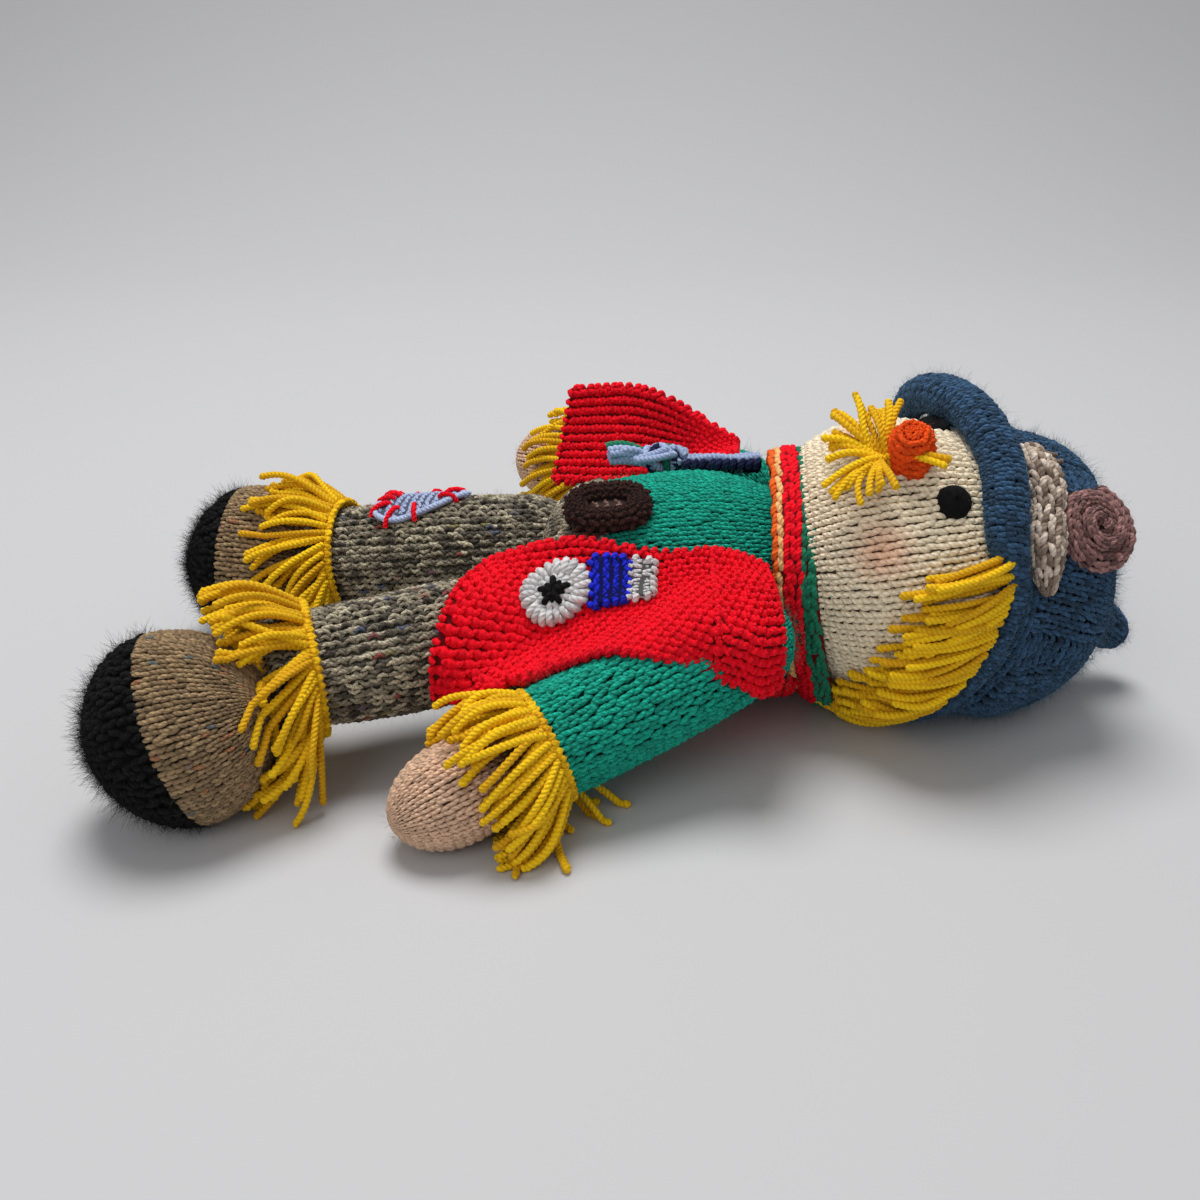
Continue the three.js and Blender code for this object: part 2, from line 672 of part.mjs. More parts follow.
function addHat() {
  const headInHat = carried(headShape(SEWN_GAP), headFrame, hatFrame);
  const crown = cut(crownShape(), crownShape(HAT_THICKNESS), headInHat);
  const brimRoom = grown(brimShape(), SEWN_GAP);
  add(hatFrame, 'hat_crown', aboveFloor(cut(crown, brimRoom), hatFrame), 'denim');
  add(hatFrame, 'hat_brim', aboveFloor(cut(brimShape(), headInHat), hatFrame), 'denim');
  const tip = revolved([
    [TIP_RADIUS * 0.8, -4],
    [TIP_RADIUS, TIP_LENGTH * 0.35],
    [TIP_RADIUS * 0.85, TIP_LENGTH * 0.75],
    [TIP_RADIUS * 0.3, TIP_LENGTH],
  ]).translate(0, HAT_LENGTH - 1, 0);
  add(hatFrame, 'hat_tip', cut(sagged(tip), grown(crownShape(), SEWN_GAP)), 'denim');
}

// Straw hair: a band under the rim on each side of the head
function addHair() {
  const profile = [
    [HEAD_RADIUS * 0.6, -HAIR_WIDTH - 1],
    [HEAD_RADIUS + HAIR_THICKNESS * 0.5, -HAIR_WIDTH - 1],
    [HEAD_RADIUS + HAIR_THICKNESS, -HAIR_WIDTH * 0.5],
    [HEAD_RADIUS + HAIR_THICKNESS, -BRIM_BACK_RADIUS],
    [HEAD_RADIUS * 0.6, -BRIM_BACK_RADIUS],
    [HEAD_RADIUS * 0.6, -HAIR_WIDTH - 1],
  ];
  const band = new THREE.LatheGeometry(profile.map(([r, y]) => new THREE.Vector2(r, y)), FINE_SIDES);
  const headInHat = carried(headShape(SEWN_GAP), headFrame, hatFrame);
  const scarfInHat = carried(grown(scarfShape(), HAIR_ROOM), scarfFrame, hatFrame);
  const brimRoom = grown(brimShape(), SEWN_GAP);
  for (const [side, sign] of [['left', 1], ['right', -1]]) {
    const wedge = new THREE.Shape();
    const corners = 4;
    wedge.moveTo(0, 0);
    for (let i = 0; i <= corners; i += 1) {
      const angle = THREE.MathUtils.lerp(HAIR_START, HAIR_END, i / corners) * DEGREE;
      wedge.lineTo(FAR * Math.sin(angle) * sign, FAR * Math.cos(angle));
    }
    const block = new THREE.ExtrudeGeometry(wedge, { depth: FAR, bevelEnabled: false })
      .translate(0, 0, -FAR / 2)
      .rotateX(Math.PI / 2);
    const hair = cut(common(band, block), headInHat, brimRoom, scarfInHat);
    add(hatFrame, `${side}_hair`, aboveFloor(hair, hatFrame), 'straw');
  }
}

// Snail on the hat: a flat knitted body and a coiled shell beside it
function addSnail() {
  const hatRadius = HAT_RADIUS * 0.97 - HAT_DENT * 0.7;
  const frame = frameAlong(
    new THREE.Vector3(0, SNAIL_ALONG, 0),
    new THREE.Vector3(Math.sin(SNAIL_TURN * DEGREE), 0, Math.cos(SNAIL_TURN * DEGREE)),
    new THREE.Vector3(0, 1, 0),
  );
  frame.applyMatrix4(hatFrame.matrix);
  frame.updateMatrix();
  const crownThere = carried(grown(crownShape(), SEWN_GAP), hatFrame, frame);
  const bodyRadius = hatRadius + SNAIL_HEIGHT;
  const bodyBlock = new THREE.CylinderGeometry(bodyRadius, bodyRadius, SNAIL_WIDTH, 2 * FINE_SIDES)
    .rotateX(Math.PI / 2);
  const window = ball(1).scale(SNAIL_LENGTH / 2, SNAIL_HEIGHT * 2.4, SNAIL_WIDTH / 2)
    .translate(0, hatRadius - 1, -SHELL_RADIUS * 0.45);
  const body = cut(common(bodyBlock, window), crownThere);
  const shell = revolved([
    [SHELL_RADIUS * 0.7, -SHELL_THICKNESS],
    [SHELL_RADIUS, 0],
    [SHELL_RADIUS * 0.96, SHELL_THICKNESS * 0.5],
    [SHELL_RADIUS * 0.6, SHELL_THICKNESS],
    [1, SHELL_THICKNESS * 1.05],
  ]).translate(0, hatRadius - 3, SHELL_RADIUS * 0.55);
  add(frame, 'snail_shell', cut(shell, crownThere), 'snailShell');
  add(frame, 'snail_body', cut(body, grown(shell, SEWN_GAP)), 'snailBody');
}

// Scarf: a band round the neck that lies on the head's lower curve
function scarfShape() {
  const steps = 6;
  const inner = [];
  const outer = [];
  for (let i = 0; i <= steps; i += 1) {
    const along = SCARF_START + (SCARF_WIDTH * i) / steps;
    const fromCentre = Math.min(HEAD_RISE - along, HEAD_RISE);
    const headThere = Math.sqrt(Math.max(HEAD_RADIUS ** 2 - fromCentre ** 2, 0));
    const under = Math.max(headThere, CHEST_RADIUS - 1) + 2 * SEWN_GAP;
    const puff = Math.sin((Math.PI * i) / steps);
    inner.push(new THREE.Vector2(under, along));
    outer.push(new THREE.Vector2(under + SCARF_THICKNESS * (0.6 + 0.4 * puff), along));
  }
  return new THREE.LatheGeometry([...outer, ...inner.reverse(), outer[0].clone()], FINE_SIDES);
}

function addScarf() {
  const torsoThere = carried(grown(torsoShape(), SEWN_GAP), torsoFrame, scarfFrame);
  const headThere = carried(headShape(2 * SEWN_GAP), headFrame, scarfFrame);
  const wrap = cut(scarfShape(), torsoThere, headThere, ...armsIn(scarfFrame));
  add(scarfFrame, 'scarf_wrap', aboveFloor(wrap, scarfFrame), 'scarf');
}

// Loose cloth lies over round pieces: the height of the cloth's middle above a point of the plan
function tentOver(from, to, fromRadius, toRadius) {
  const slope = CLOTH_SLOPE * DEGREE;
  const [runX, runY] = [to.x - from.x, to.y - from.y];
  const run = Math.hypot(runX, runY);
  const stretch = from.distanceTo(to) / run;
  return (x, y) => {
    const share = ((x - from.x) * runX + (y - from.y) * runY) / run ** 2;
    const along = THREE.MathUtils.clamp(share, 0, 1);
    const centre = from.clone().lerp(to, along);
    const radius = THREE.MathUtils.lerp(fromRadius, toRadius, along) + underCloth;
    const aside = Math.hypot(x - centre.x, y - centre.y);
    const flat = radius * Math.sin(slope);
    if (aside < flat) return centre.z + stretch * Math.sqrt(radius ** 2 - aside ** 2);
    return centre.z + stretch * (radius * Math.cos(slope) - (aside - flat) * Math.tan(slope));
  };
}

function drape(supports, blend) {
  return (x, y) => {
    const heights = supports.map((support) => support(x, y));
    const top = Math.max(...heights);
    const shares = heights.map((height) => Math.exp((height - top) / blend));
    return top + blend * Math.log(shares.reduce((sum, share) => sum + share, 0));
  };
}

const underCloth = DRAPE_GAP + CLOTH / 2;
const limbEnd = (frame, along) => new THREE.Vector3(0, along, 0).applyMatrix4(frame.matrix);
const torsoTent = tentOver(waist, neck, TORSO_RADIUS + TORSO_SWELL, CHEST_RADIUS);
// Over the shoulder the cloth stays above the arm wherever it swings
function overShoulder(x, y) {
  const [atX, atY, atZ] = LEFT_SHOULDER_AT;
  const out = Math.hypot(x - atX, y - atY);
  const fall = -LEFT_ARM_DIRECTION[2] * out;
  return out < SHOULDER_COVER ? atZ + SLEEVE_RADIUS + underCloth - fall : -FAR;
}

const frontDrape = drape([
  torsoTent,
  tentOver(limbEnd(legs.left, LEG_LENGTH), limbEnd(legs.left, 0), THIGH_RADIUS, THIGH_RADIUS),
  tentOver(limbEnd(arms.left, SLEEVE_LENGTH), limbEnd(arms.left, 0), SLEEVE_RADIUS, SLEEVE_RADIUS),
  overShoulder,
], CLOTH_BLEND);

function planCurve(points) {
  return new THREE.SplineCurve(points.map(([x, y]) => new THREE.Vector2(x, y)));
}

// Cloth between an upper and a lower edge of the plan, lifted to the drape
function drapedSurface(opening, edge, height, bow = () => 0) {
  const [inner, outer] = [planCurve(opening), planCurve(edge)];
  return (u, v) => {
    const a = inner.getPoint(u);
    const b = outer.getPoint(u);
    const at = a.lerp(b, v);
    const x = at.x + bow(u, v);
    return new THREE.Vector3(x, at.y, height(x, at.y));
  };
}

// The hem bows between its two corners, through the middle point of LEFT_HEM
function hemBow(u, v) {
  const [start, middle, end] = LEFT_HEM;
  const lean = middle[0] - (start[0] + end[0]) / 2;
  return lean * 4 * v * (1 - v) * (1 - u);
}

// The side seam, where the right front turns out from the back
function rightSeam() {
  const angle = (-90 - BACK_RIGHT_EDGE) * DEGREE;
  const radius = TORSO_RADIUS + DRAPE_GAP + CLOTH / 2;
  const seamGap = CLOTH / 2 + 2 * SEWN_GAP;
  return [BACK_START, RIGHT_SEAM_TO].map((along) => new THREE.Vector3(
    radius * Math.cos(angle) - seamGap * Math.sin(angle) * -1,
    along,
    radius * Math.sin(angle) + seamGap,
  ).applyMatrix4(torsoFrame.matrix));
}

function addWaistcoatFronts() {
  const leftFront = drapedSurface(LEFT_OPENING, LEFT_EDGE, frontDrape, hemBow);
  const frame = new THREE.Group();
  add(frame, 'waistcoat_left_front', slab(flippedSurface(leftFront), 11, 8, CLOTH), 'red');

  const shoulder = drapedSurface(
    SHOULDER_OPENING.map(([x, y]) => [x + SEWN_GAP, y]),
    SHOULDER_EDGE.map(([x, y]) => [x + SEWN_GAP, y]),
    frontDrape,
  );
  const scarfThere = carried(grown(scarfShape(), SEWN_GAP), scarfFrame, world);
  const yoke = cut(slab(flippedSurface(shoulder), 4, 7, CLOTH), scarfThere);
  add(frame, 'waistcoat_left_shoulder', yoke, 'red');

  const lower = new THREE.CatmullRomCurve3([point(RIGHT_HEM[0]), ...rightSeam(), point(RIGHT_NECK_END[0])]);
  const upper = new THREE.CatmullRomCurve3([RIGHT_HEM[1], RIGHT_OPENING_AT, RIGHT_NECK_END[1]].map(point));
  const rightFront = (u, v) => {
    const at = lower.getPoint(u).lerp(upper.getPoint(u), v);
    const belly = Math.sin(Math.PI * v) * 1.5;
    return at.add(new THREE.Vector3(0, belly, -belly));
  };
  add(frame, 'waistcoat_right_front', slab(flippedSurface(rightFront), 9, 5, CLOTH), 'red');
  return flippedSurface(leftFront);
}

function flippedSurface(surface) {
  return (u, v) => surface(1 - u, v);
}

// Waistcoat back: a curved shell under the torso
function addWaistcoatBack() {
  const radius = TORSO_RADIUS + DRAPE_GAP;
  const ring = new THREE.Shape();
  const [start, end] = [-90 - BACK_RIGHT_EDGE, -90 + BACK_LEFT_EDGE].map((angle) => angle * DEGREE);
  ring.absarc(0, 0, radius + CLOTH, start, end, false);
  ring.absarc(0, 0, radius, end, start, true);
  const settings = { depth: BACK_LENGTH, bevelEnabled: false, curveSegments: FINE_SIDES };
  const shell = new THREE.ExtrudeGeometry(ring, settings)
    .rotateX(Math.PI / 2)
    .translate(0, BACK_START + BACK_LENGTH, 0);
  const scarfThere = carried(grown(scarfShape(), SEWN_GAP), scarfFrame, torsoFrame);
  const fitted = cut(shell, ...armsIn(torsoFrame), scarfThere);
  add(torsoFrame, 'waistcoat_back', aboveFloor(fitted, torsoFrame), 'red');
}

// Buckle: an oval bar with a knitted centre, on the front of the waist
function ovalShape(halfLength, halfWidth) {
  const oval = new THREE.Shape();
  oval.absellipse(0, 0, halfWidth, halfLength, 0, 2 * Math.PI, false);
  return oval;
}

function onTorso(along, turn) {
  const direction = new THREE.Vector3(0, 0, 1).applyAxisAngle(new THREE.Vector3(0, 1, 0), turn * DEGREE);
  const at = new THREE.Vector3(0, along, 0).addScaledVector(direction, SEAT_RADIUS);
  const frame = frameAlong(at, new THREE.Vector3(0, 1, 0), direction);
  frame.applyMatrix4(torsoFrame.matrix);
  frame.updateMatrix();
  return frame;
}

function addBuckle() {
  const frame = onTorso(BUCKLE_ALONG, BUCKLE_TURN);
  const holeLength = BUCKLE_HALF_LENGTH - BUCKLE_BAR;
  const holeWidth = BUCKLE_HALF_WIDTH - BUCKLE_BAR;
  const bar = ovalShape(BUCKLE_HALF_LENGTH, BUCKLE_HALF_WIDTH);
  bar.holes.push(ovalShape(holeLength, holeWidth));
  const settings = { depth: 2 * BUCKLE_THICKNESS, bevelEnabled: false, curveSegments: 20 };
  const low = (geometry) => geometry.translate(0, 0, -BUCKLE_THICKNESS);
  const body = [torsoShape(), seatShape()].map((g) => carried(grown(g, SEWN_GAP), torsoFrame, frame));
  add(frame, 'buckle', cut(low(new THREE.ExtrudeGeometry(bar, settings)), ...body), 'buckle');
  const centre = ovalShape(holeLength - SEWN_GAP, holeWidth - SEWN_GAP);
  const plug = new THREE.ExtrudeGeometry(centre, { ...settings, depth: 1.6 * BUCKLE_THICKNESS });
  add(frame, 'buckle_centre', cut(low(plug), ...body), 'buckleCentre');
}

// A cover on cloth: an outline of the plan, cut from a layer that follows the cloth
function clothCover(surface, outline, offset, thickness) {
  const step = 1e-3;
  const raised = (u, v) => {
    const [u0, v0] = [Math.min(u, 1 - step), Math.min(v, 1 - step)];
    const here = surface(u0, v0);
    const out = surface(u0 + step, v0).sub(here).cross(surface(u0, v0 + step).sub(here)).normalize();
    return surface(u, v).addScaledVector(out, offset + thickness / 2);
  };
  const settings = { depth: FAR / 2, bevelEnabled: false, curveSegments: 10 };
  const prism = new THREE.ExtrudeGeometry(outline, settings);
  return common(slab(raised, 11, 8, thickness), prism);
}

function rectangle(fromX, toX, middleY, slopeWidth) {
  const width = slopeWidth * MEDAL_DEPTH_SHARE;
  const outline = new THREE.Shape();
  outline.moveTo(fromX, middleY - width / 2);
  outline.lineTo(toX, middleY - width / 2);
  outline.lineTo(toX, middleY + width / 2);
  outline.lineTo(fromX, middleY + width / 2);
  return outline;
}

function starOutline([x, y], radius, points) {
  const outline = new THREE.Shape();
  for (let i = 0; i < 2 * points; i += 1) {
    const reach = i % 2 ? radius * 0.45 : radius;
    const angle = (i / points) * Math.PI;
    const corner = [x + reach * Math.cos(angle), y + reach * MEDAL_DEPTH_SHARE * Math.sin(angle)];
    if (i === 0) outline.moveTo(...corner);
    else outline.lineTo(...corner);
  }
  return outline;
}

function addMedal(front) {
  const frame = new THREE.Group();
  const [x, y] = MEDAL_AT;
  const onFront = CLOTH / 2 + SEWN_GAP;
  const cover = (name, outline, offset, thickness, look) => {
    add(frame, name, clothCover(front, outline, offset, thickness), look);
  };
  const disc = new THREE.Shape();
  disc.absellipse(x, y, MEDAL_RADIUS, MEDAL_RADIUS * MEDAL_DEPTH_SHARE, 0, 2 * Math.PI, false);
  cover('medal_disc', disc, onFront, MEDAL_THICKNESS, 'medal');
  const star = starOutline(MEDAL_AT, MEDAL_CENTRE_RADIUS, 5);
  cover('medal_star', star, onFront + MEDAL_THICKNESS + SEWN_GAP, MEDAL_THICKNESS / 2, 'felt');
  const ribbonFrom = x + MEDAL_RADIUS + SEWN_GAP;
  const ribbon = rectangle(ribbonFrom, ribbonFrom + RIBBON_LENGTH, y, RIBBON_WIDTH);
  cover('medal_ribbon', ribbon, onFront, MEDAL_THICKNESS, 'ribbon');
  const barFrom = ribbonFrom + RIBBON_LENGTH + SEWN_GAP;
  const bar = rectangle(barFrom, barFrom + BAR_LENGTH, y, RIBBON_WIDTH);
  cover('medal_bar', bar, onFront, MEDAL_THICKNESS, 'medal');
}

// Scarf tail: a strip over the front of the torso, a knot and a fringe
function addScarfTail() {
  const frame = new THREE.Group();
  const height = (x, y) => torsoTent(x, y) + SCARF_THICKNESS / 2 - CLOTH / 2;
  const side = (sign) => TAIL_PATH.map(([x, y]) => [x, y + (sign * TAIL_WIDTH) / 2]);
  const strip = slab(drapedSurface(side(-1), side(1), height), 8, 4, SCARF_THICKNESS);
  const wrapThere = carried(grown(scarfShape(), SEWN_GAP), scarfFrame, world);
  add(frame, 'scarf_tail', cut(strip, wrapThere), 'scarfTail');

  const [x, y] = KNOT_AT;
  const knotAt = new THREE.Vector3(x, y, torsoTent(x, y) - CLOTH / 2 + KNOT_RADIUS);
  const knot = ball(KNOT_RADIUS, 16).translate(knotAt.x, knotAt.y, knotAt.z);
  add(frame, 'scarf_knot', cut(knot, grown(strip, SEWN_GAP)), 'scarfTail');

  const from = x - KNOT_RADIUS * 0.6;
  const edge = (sign) => [
    [from - SCARF_FRINGE_LENGTH, y + (sign * SCARF_FRINGE_WIDTH) / 2],
    [from, y + sign * SCARF_FRINGE_WIDTH * FRINGE_ROOT_SHARE],
  ];
  const fringe = slab(drapedSurface(edge(-1), edge(1), height), 5, 4, SCARF_THICKNESS);
  add(frame, 'scarf_fringe', cut(fringe, grown(knot, SEWN_GAP)), 'scarfTail');
}

addTorso();
addSeat();
for (const side of ['left', 'right']) {
  addLeg(side);
  addArm(side);
}
addKneePatch();
add(headFrame, 'head', headShape(), 'face');
addFace();
addHat();
addHair();
addSnail();
addScarf();
addScarfTail();
addWaistcoatBack();
addMedal(addWaistcoatFronts());
addBuckle();

// The origin is the middle of the outline, at the level that the doll lies on
doll.updateMatrixWorld(true);
const outline = new THREE.Box3().setFromObject(doll, true);
const middle = outline.getCenter(new THREE.Vector3());
doll.position.set(-middle.x, -middle.y, -outline.min.z);

const part = new THREE.Group();
part.add(doll);

export default part;
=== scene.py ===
# The looks of the knitted scarecrow doll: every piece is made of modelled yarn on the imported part's frame.
# Sizes are in millimetres in the part's own drawing, and become metres when a piece is built.
import json
import math

import bpy
import numpy as np
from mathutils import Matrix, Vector


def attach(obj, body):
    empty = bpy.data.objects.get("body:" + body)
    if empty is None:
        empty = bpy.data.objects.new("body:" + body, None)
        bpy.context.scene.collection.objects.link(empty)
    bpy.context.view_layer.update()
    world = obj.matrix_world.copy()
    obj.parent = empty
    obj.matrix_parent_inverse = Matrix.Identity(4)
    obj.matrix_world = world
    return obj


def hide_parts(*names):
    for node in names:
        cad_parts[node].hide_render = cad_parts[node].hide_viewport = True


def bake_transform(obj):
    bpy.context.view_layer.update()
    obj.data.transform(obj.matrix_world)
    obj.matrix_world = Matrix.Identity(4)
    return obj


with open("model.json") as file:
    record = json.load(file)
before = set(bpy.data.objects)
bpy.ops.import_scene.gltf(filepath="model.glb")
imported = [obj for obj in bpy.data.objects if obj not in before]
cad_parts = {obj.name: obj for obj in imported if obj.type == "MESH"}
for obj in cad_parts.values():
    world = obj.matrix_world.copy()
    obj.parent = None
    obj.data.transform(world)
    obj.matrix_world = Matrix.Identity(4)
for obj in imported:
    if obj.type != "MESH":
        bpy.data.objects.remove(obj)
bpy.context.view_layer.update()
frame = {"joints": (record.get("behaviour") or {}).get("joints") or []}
rng = np.random.default_rng(7)

MM = 0.001
TURN = 2 * math.pi

# Places that the part's drawing gives
WAIST_AT = (2, 8, 36.4)
NECK_AT = (57, 10, 40.5)
BODY_ROLL = 23
TORSO_LENGTH = 55.2
TORSO_RADIUS = 35
CHEST_RADIUS = 32
NECK_RADIUS = 25
TORSO_SWELL = 1.2
SEAT_LENGTH = 20
SEAT_RADIUS = 36
HIP_AT = {"left": (-22, -15, 33), "right": (-22, 28, 39)}
LEG_DIRECTION = {"left": (-0.945, -0.325, -0.03), "right": (-0.98, 0.15, -0.125)}
LEG_LENGTH = 72
HIP_RADIUS = 16.8
THIGH_RADIUS = 17.4
ANKLE_RADIUS = 15.2
BOOT_AT = {"left": (-110, -57, 26.2), "right": (-111, 42, 26.4)}
SOLE_DIRECTION = {"left": (-0.96, -0.08, -0.26), "right": (-0.98, 0.14, 0.02)}
BOOT_HALF = (23.5, 24.5, 26.7)
SOLE_FROM = {"left": 1, "right": 8}
ANKLE_STRAW_FROM = 62
SHOULDER_AT = {"left": (38.8, -32.5, 38), "right": (44, 47.5, 48.5)}
ARM_DIRECTION = {"left": (-0.867, -0.418, -0.272), "right": (-0.68, 0.72, -0.14)}
ARM_LENGTH = 92
SHOULDER_RADIUS = 15
SLEEVE_RADIUS = 16
WRIST_RADIUS = 12.2
SLEEVE_LENGTH = 70
HAND_RADIUS = 13.6
HAND_HALF_LENGTH = 20
HAND_MIDDLE = ARM_LENGTH - 5
CUFF_STRAW_FROM = 63
HEAD_AT = (90, 6.5, 47.5)
HEAD_RADIUS = 43.5
FACE_ROLL = 32
SCARF_DIRECTION = (1, -0.08, 0.03)
HAT_LEAN = 35
RIM_RISE = 13
HAT_RADIUS = 47
HAT_LENGTH = 51
HAT_SAG = (7, 3)
HAT_DENT = 5.5
DENT_ALONG = 9
CLOTH = 2.2
DRAPE_GAP = 0.6
CLOTH_SLOPE = 52
CLOTH_BLEND = 3.0
SPANS = (0, 2.5, 5)  # how far the cloth spans a hollow to each side
SHOULDER_COVER = 22

# Yarn
FINE = (2.7, 2.25)  # width and height of a stitch of thin yarn
THICK = (4.2, 2.8)
TWEED_STITCH = (3.3, 2.7)
TORSO_STITCH = (2.9, 2.4)
SLEEVE_STITCH = (3.4, 2.7)
HAND_STITCH = (3.1, 2.6)
HAT_STITCH = (3.6, 2.6)
PLY_PITCH = 1.25  # length of yarn between two ply marks
STRAND_TWIST = 1.6  # length of a thick strand between two marks of its twist
GRAIN = 0.12  # how strong the yarn's fibrous grain is
ABOUT_UP = (0.01, 0.02, 1.0)  # a direction out of the fabric that no strand runs along

hip = next(joint for joint in frame["joints"] if joint["name"] == "left_hip")
SHIFT = np.array(hip["pos_m"]) / MM - np.array(HIP_AT["left"])


def unit(vector):
    vector = np.asarray(vector, float)
    return vector / np.maximum(np.linalg.norm(vector, axis=-1, keepdims=True), 1e-9)


def rolled(degrees):
    return (0, -math.sin(math.radians(degrees)), math.cos(math.radians(degrees)))


def between(limits, count):
    """Even random numbers between two limits."""
    return limits[0] + (limits[1] - limits[0]) * rng.random(count)


def xyz(x, y, z):
    """Points from their coordinates, of which some may be single numbers."""
    return np.stack(np.broadcast_arrays(x, y, z), axis=-1)


def round_axis(radius, angle, along):
    """Points round a limb's axis, at an angle from its front."""
    return xyz(radius * np.sin(angle), along, radius * np.cos(angle))


class Place:
    """A limb's own axes: x to one side, y along the limb, z out of its front."""

    def __init__(self, at, along, front=(0, 0, 1)):
        self.at = np.array(at, float)
        y = unit(along)
        z = unit(np.array(front, float) - y * np.dot(front, y))
        self.axes = np.array([np.cross(y, z), y, z])

    def out(self, local):
        return self.at + np.asarray(local, float) @ self.axes

    def turn(self, local):
        return np.asarray(local, float) @ self.axes

    def into(self, points):
        return (points - self.at) @ self.axes.T

    def place(self, at, along, front):
        return Place(self.out(at), self.turn(along), self.turn(front))


torso_place = Place(WAIST_AT, np.subtract(NECK_AT, WAIST_AT), rolled(BODY_ROLL))
scarf_place = Place(NECK_AT, SCARF_DIRECTION, rolled(BODY_ROLL))
head_place = Place(NECK_AT, np.subtract(HEAD_AT, NECK_AT), rolled(FACE_ROLL))
HEAD_RISE = float(np.linalg.norm(np.subtract(HEAD_AT, NECK_AT)))
hat_axis = np.array([0, math.cos(math.radians(HAT_LEAN)), -math.sin(math.radians(HAT_LEAN))])
hat_place = head_place.place(np.array([0, HEAD_RISE, 0]) + RIM_RISE * hat_axis, hat_axis, (0, 0, 1))
leg_places = {side: Place(HIP_AT[side], LEG_DIRECTION[side]) for side in HIP_AT}
boot_places = {side: Place(BOOT_AT[side], SOLE_DIRECTION[side]) for side in BOOT_AT}
arm_places = {side: Place(SHOULDER_AT[side], ARM_DIRECTION[side]) for side in SHOULDER_AT}


# Curves and surfaces
def smooth(points, steps=12):
    """A smooth curve through a few points."""
    p = np.array(points, float)
    p = np.vstack([2 * p[0] - p[1], p, 2 * p[-1] - p[-2]])
    t = np.linspace(0, 1, steps, endpoint=False)[:, None]
    spans = []
    for a, b, c, d in zip(p[:-3], p[1:-2], p[2:-1], p[3:]):
        spans.append(0.5 * (
            2 * b + (c - a) * t + (2 * a - 5 * b + 4 * c - d) * t**2 + (3 * b - a - 3 * c + d) * t**3
        ))
    return np.vstack([*spans, p[-2][None]])


class Line:
    """A curve by its share of length, from 0 to 1, that runs straight on past its ends."""

    def __init__(self, points):
        self.points = np.array(points, float)
        steps = np.linalg.norm(np.diff(self.points, axis=0), axis=1)
        self.length = float(steps.sum())
        self.shares = np.concatenate([[0], np.cumsum(steps)]) / self.length

    def at(self, share):
        inside = np.clip(share, 0, 1)
        parts = [np.interp(inside, self.shares, self.points[:, k]) for k in range(self.points.shape[1])]
        past = (share - inside)[..., None] * self.length
        first, last = unit(self.points[1] - self.points[0]), unit(self.points[-1] - self.points[-2])
        ends = np.where((share > 1)[..., None], last, first)
        return np.stack(parts, axis=-1) + past * ends


def revolve(place, stations, lumps=0.008, steps=12):
    """A surface turned round a limb's axis, from [radius, along] stations, a little lumpy with stuffing."""
    line = Line(smooth(stations, steps))

    def surface(s, t):
        angle = TURN * s
        profile = line.at(t)
        radius, along = profile[..., 0], profile[..., 1]
        lump = np.sin(3 * angle + 0.09 * along) + np.sin(5 * angle - 0.13 * along + 2)
        radius = radius * (1 + lumps * lump)
        return place.out(round_axis(radius, angle, along))

    surface.length = line.length
    return surface


def normals(surface, s, t, side=1):
    step = 2e-3
    along_s = surface(s + step, t) - surface(s - step, t)
    along_t = surface(s, t + step) - surface(s, t - step)
    return unit(np.cross(along_s, along_t)) * side


# Meshes: every piece gathers strands of yarn and skins, each with a look
GAP_SHADED_TONE = -1.0  # the tone that marks what lies between the strands, which its look darkens as painted shade
PLAIN = 0.5  # the middle tone
LOWEST = 0.15  # least height of a visible point over the floor
SKIN_DEPTH = 1.3  # how far a skin lies under the middle of its strands


def new_object(name, data):
    made = bpy.data.objects.new(name, data)
    bpy.context.scene.collection.objects.link(made)
    return made


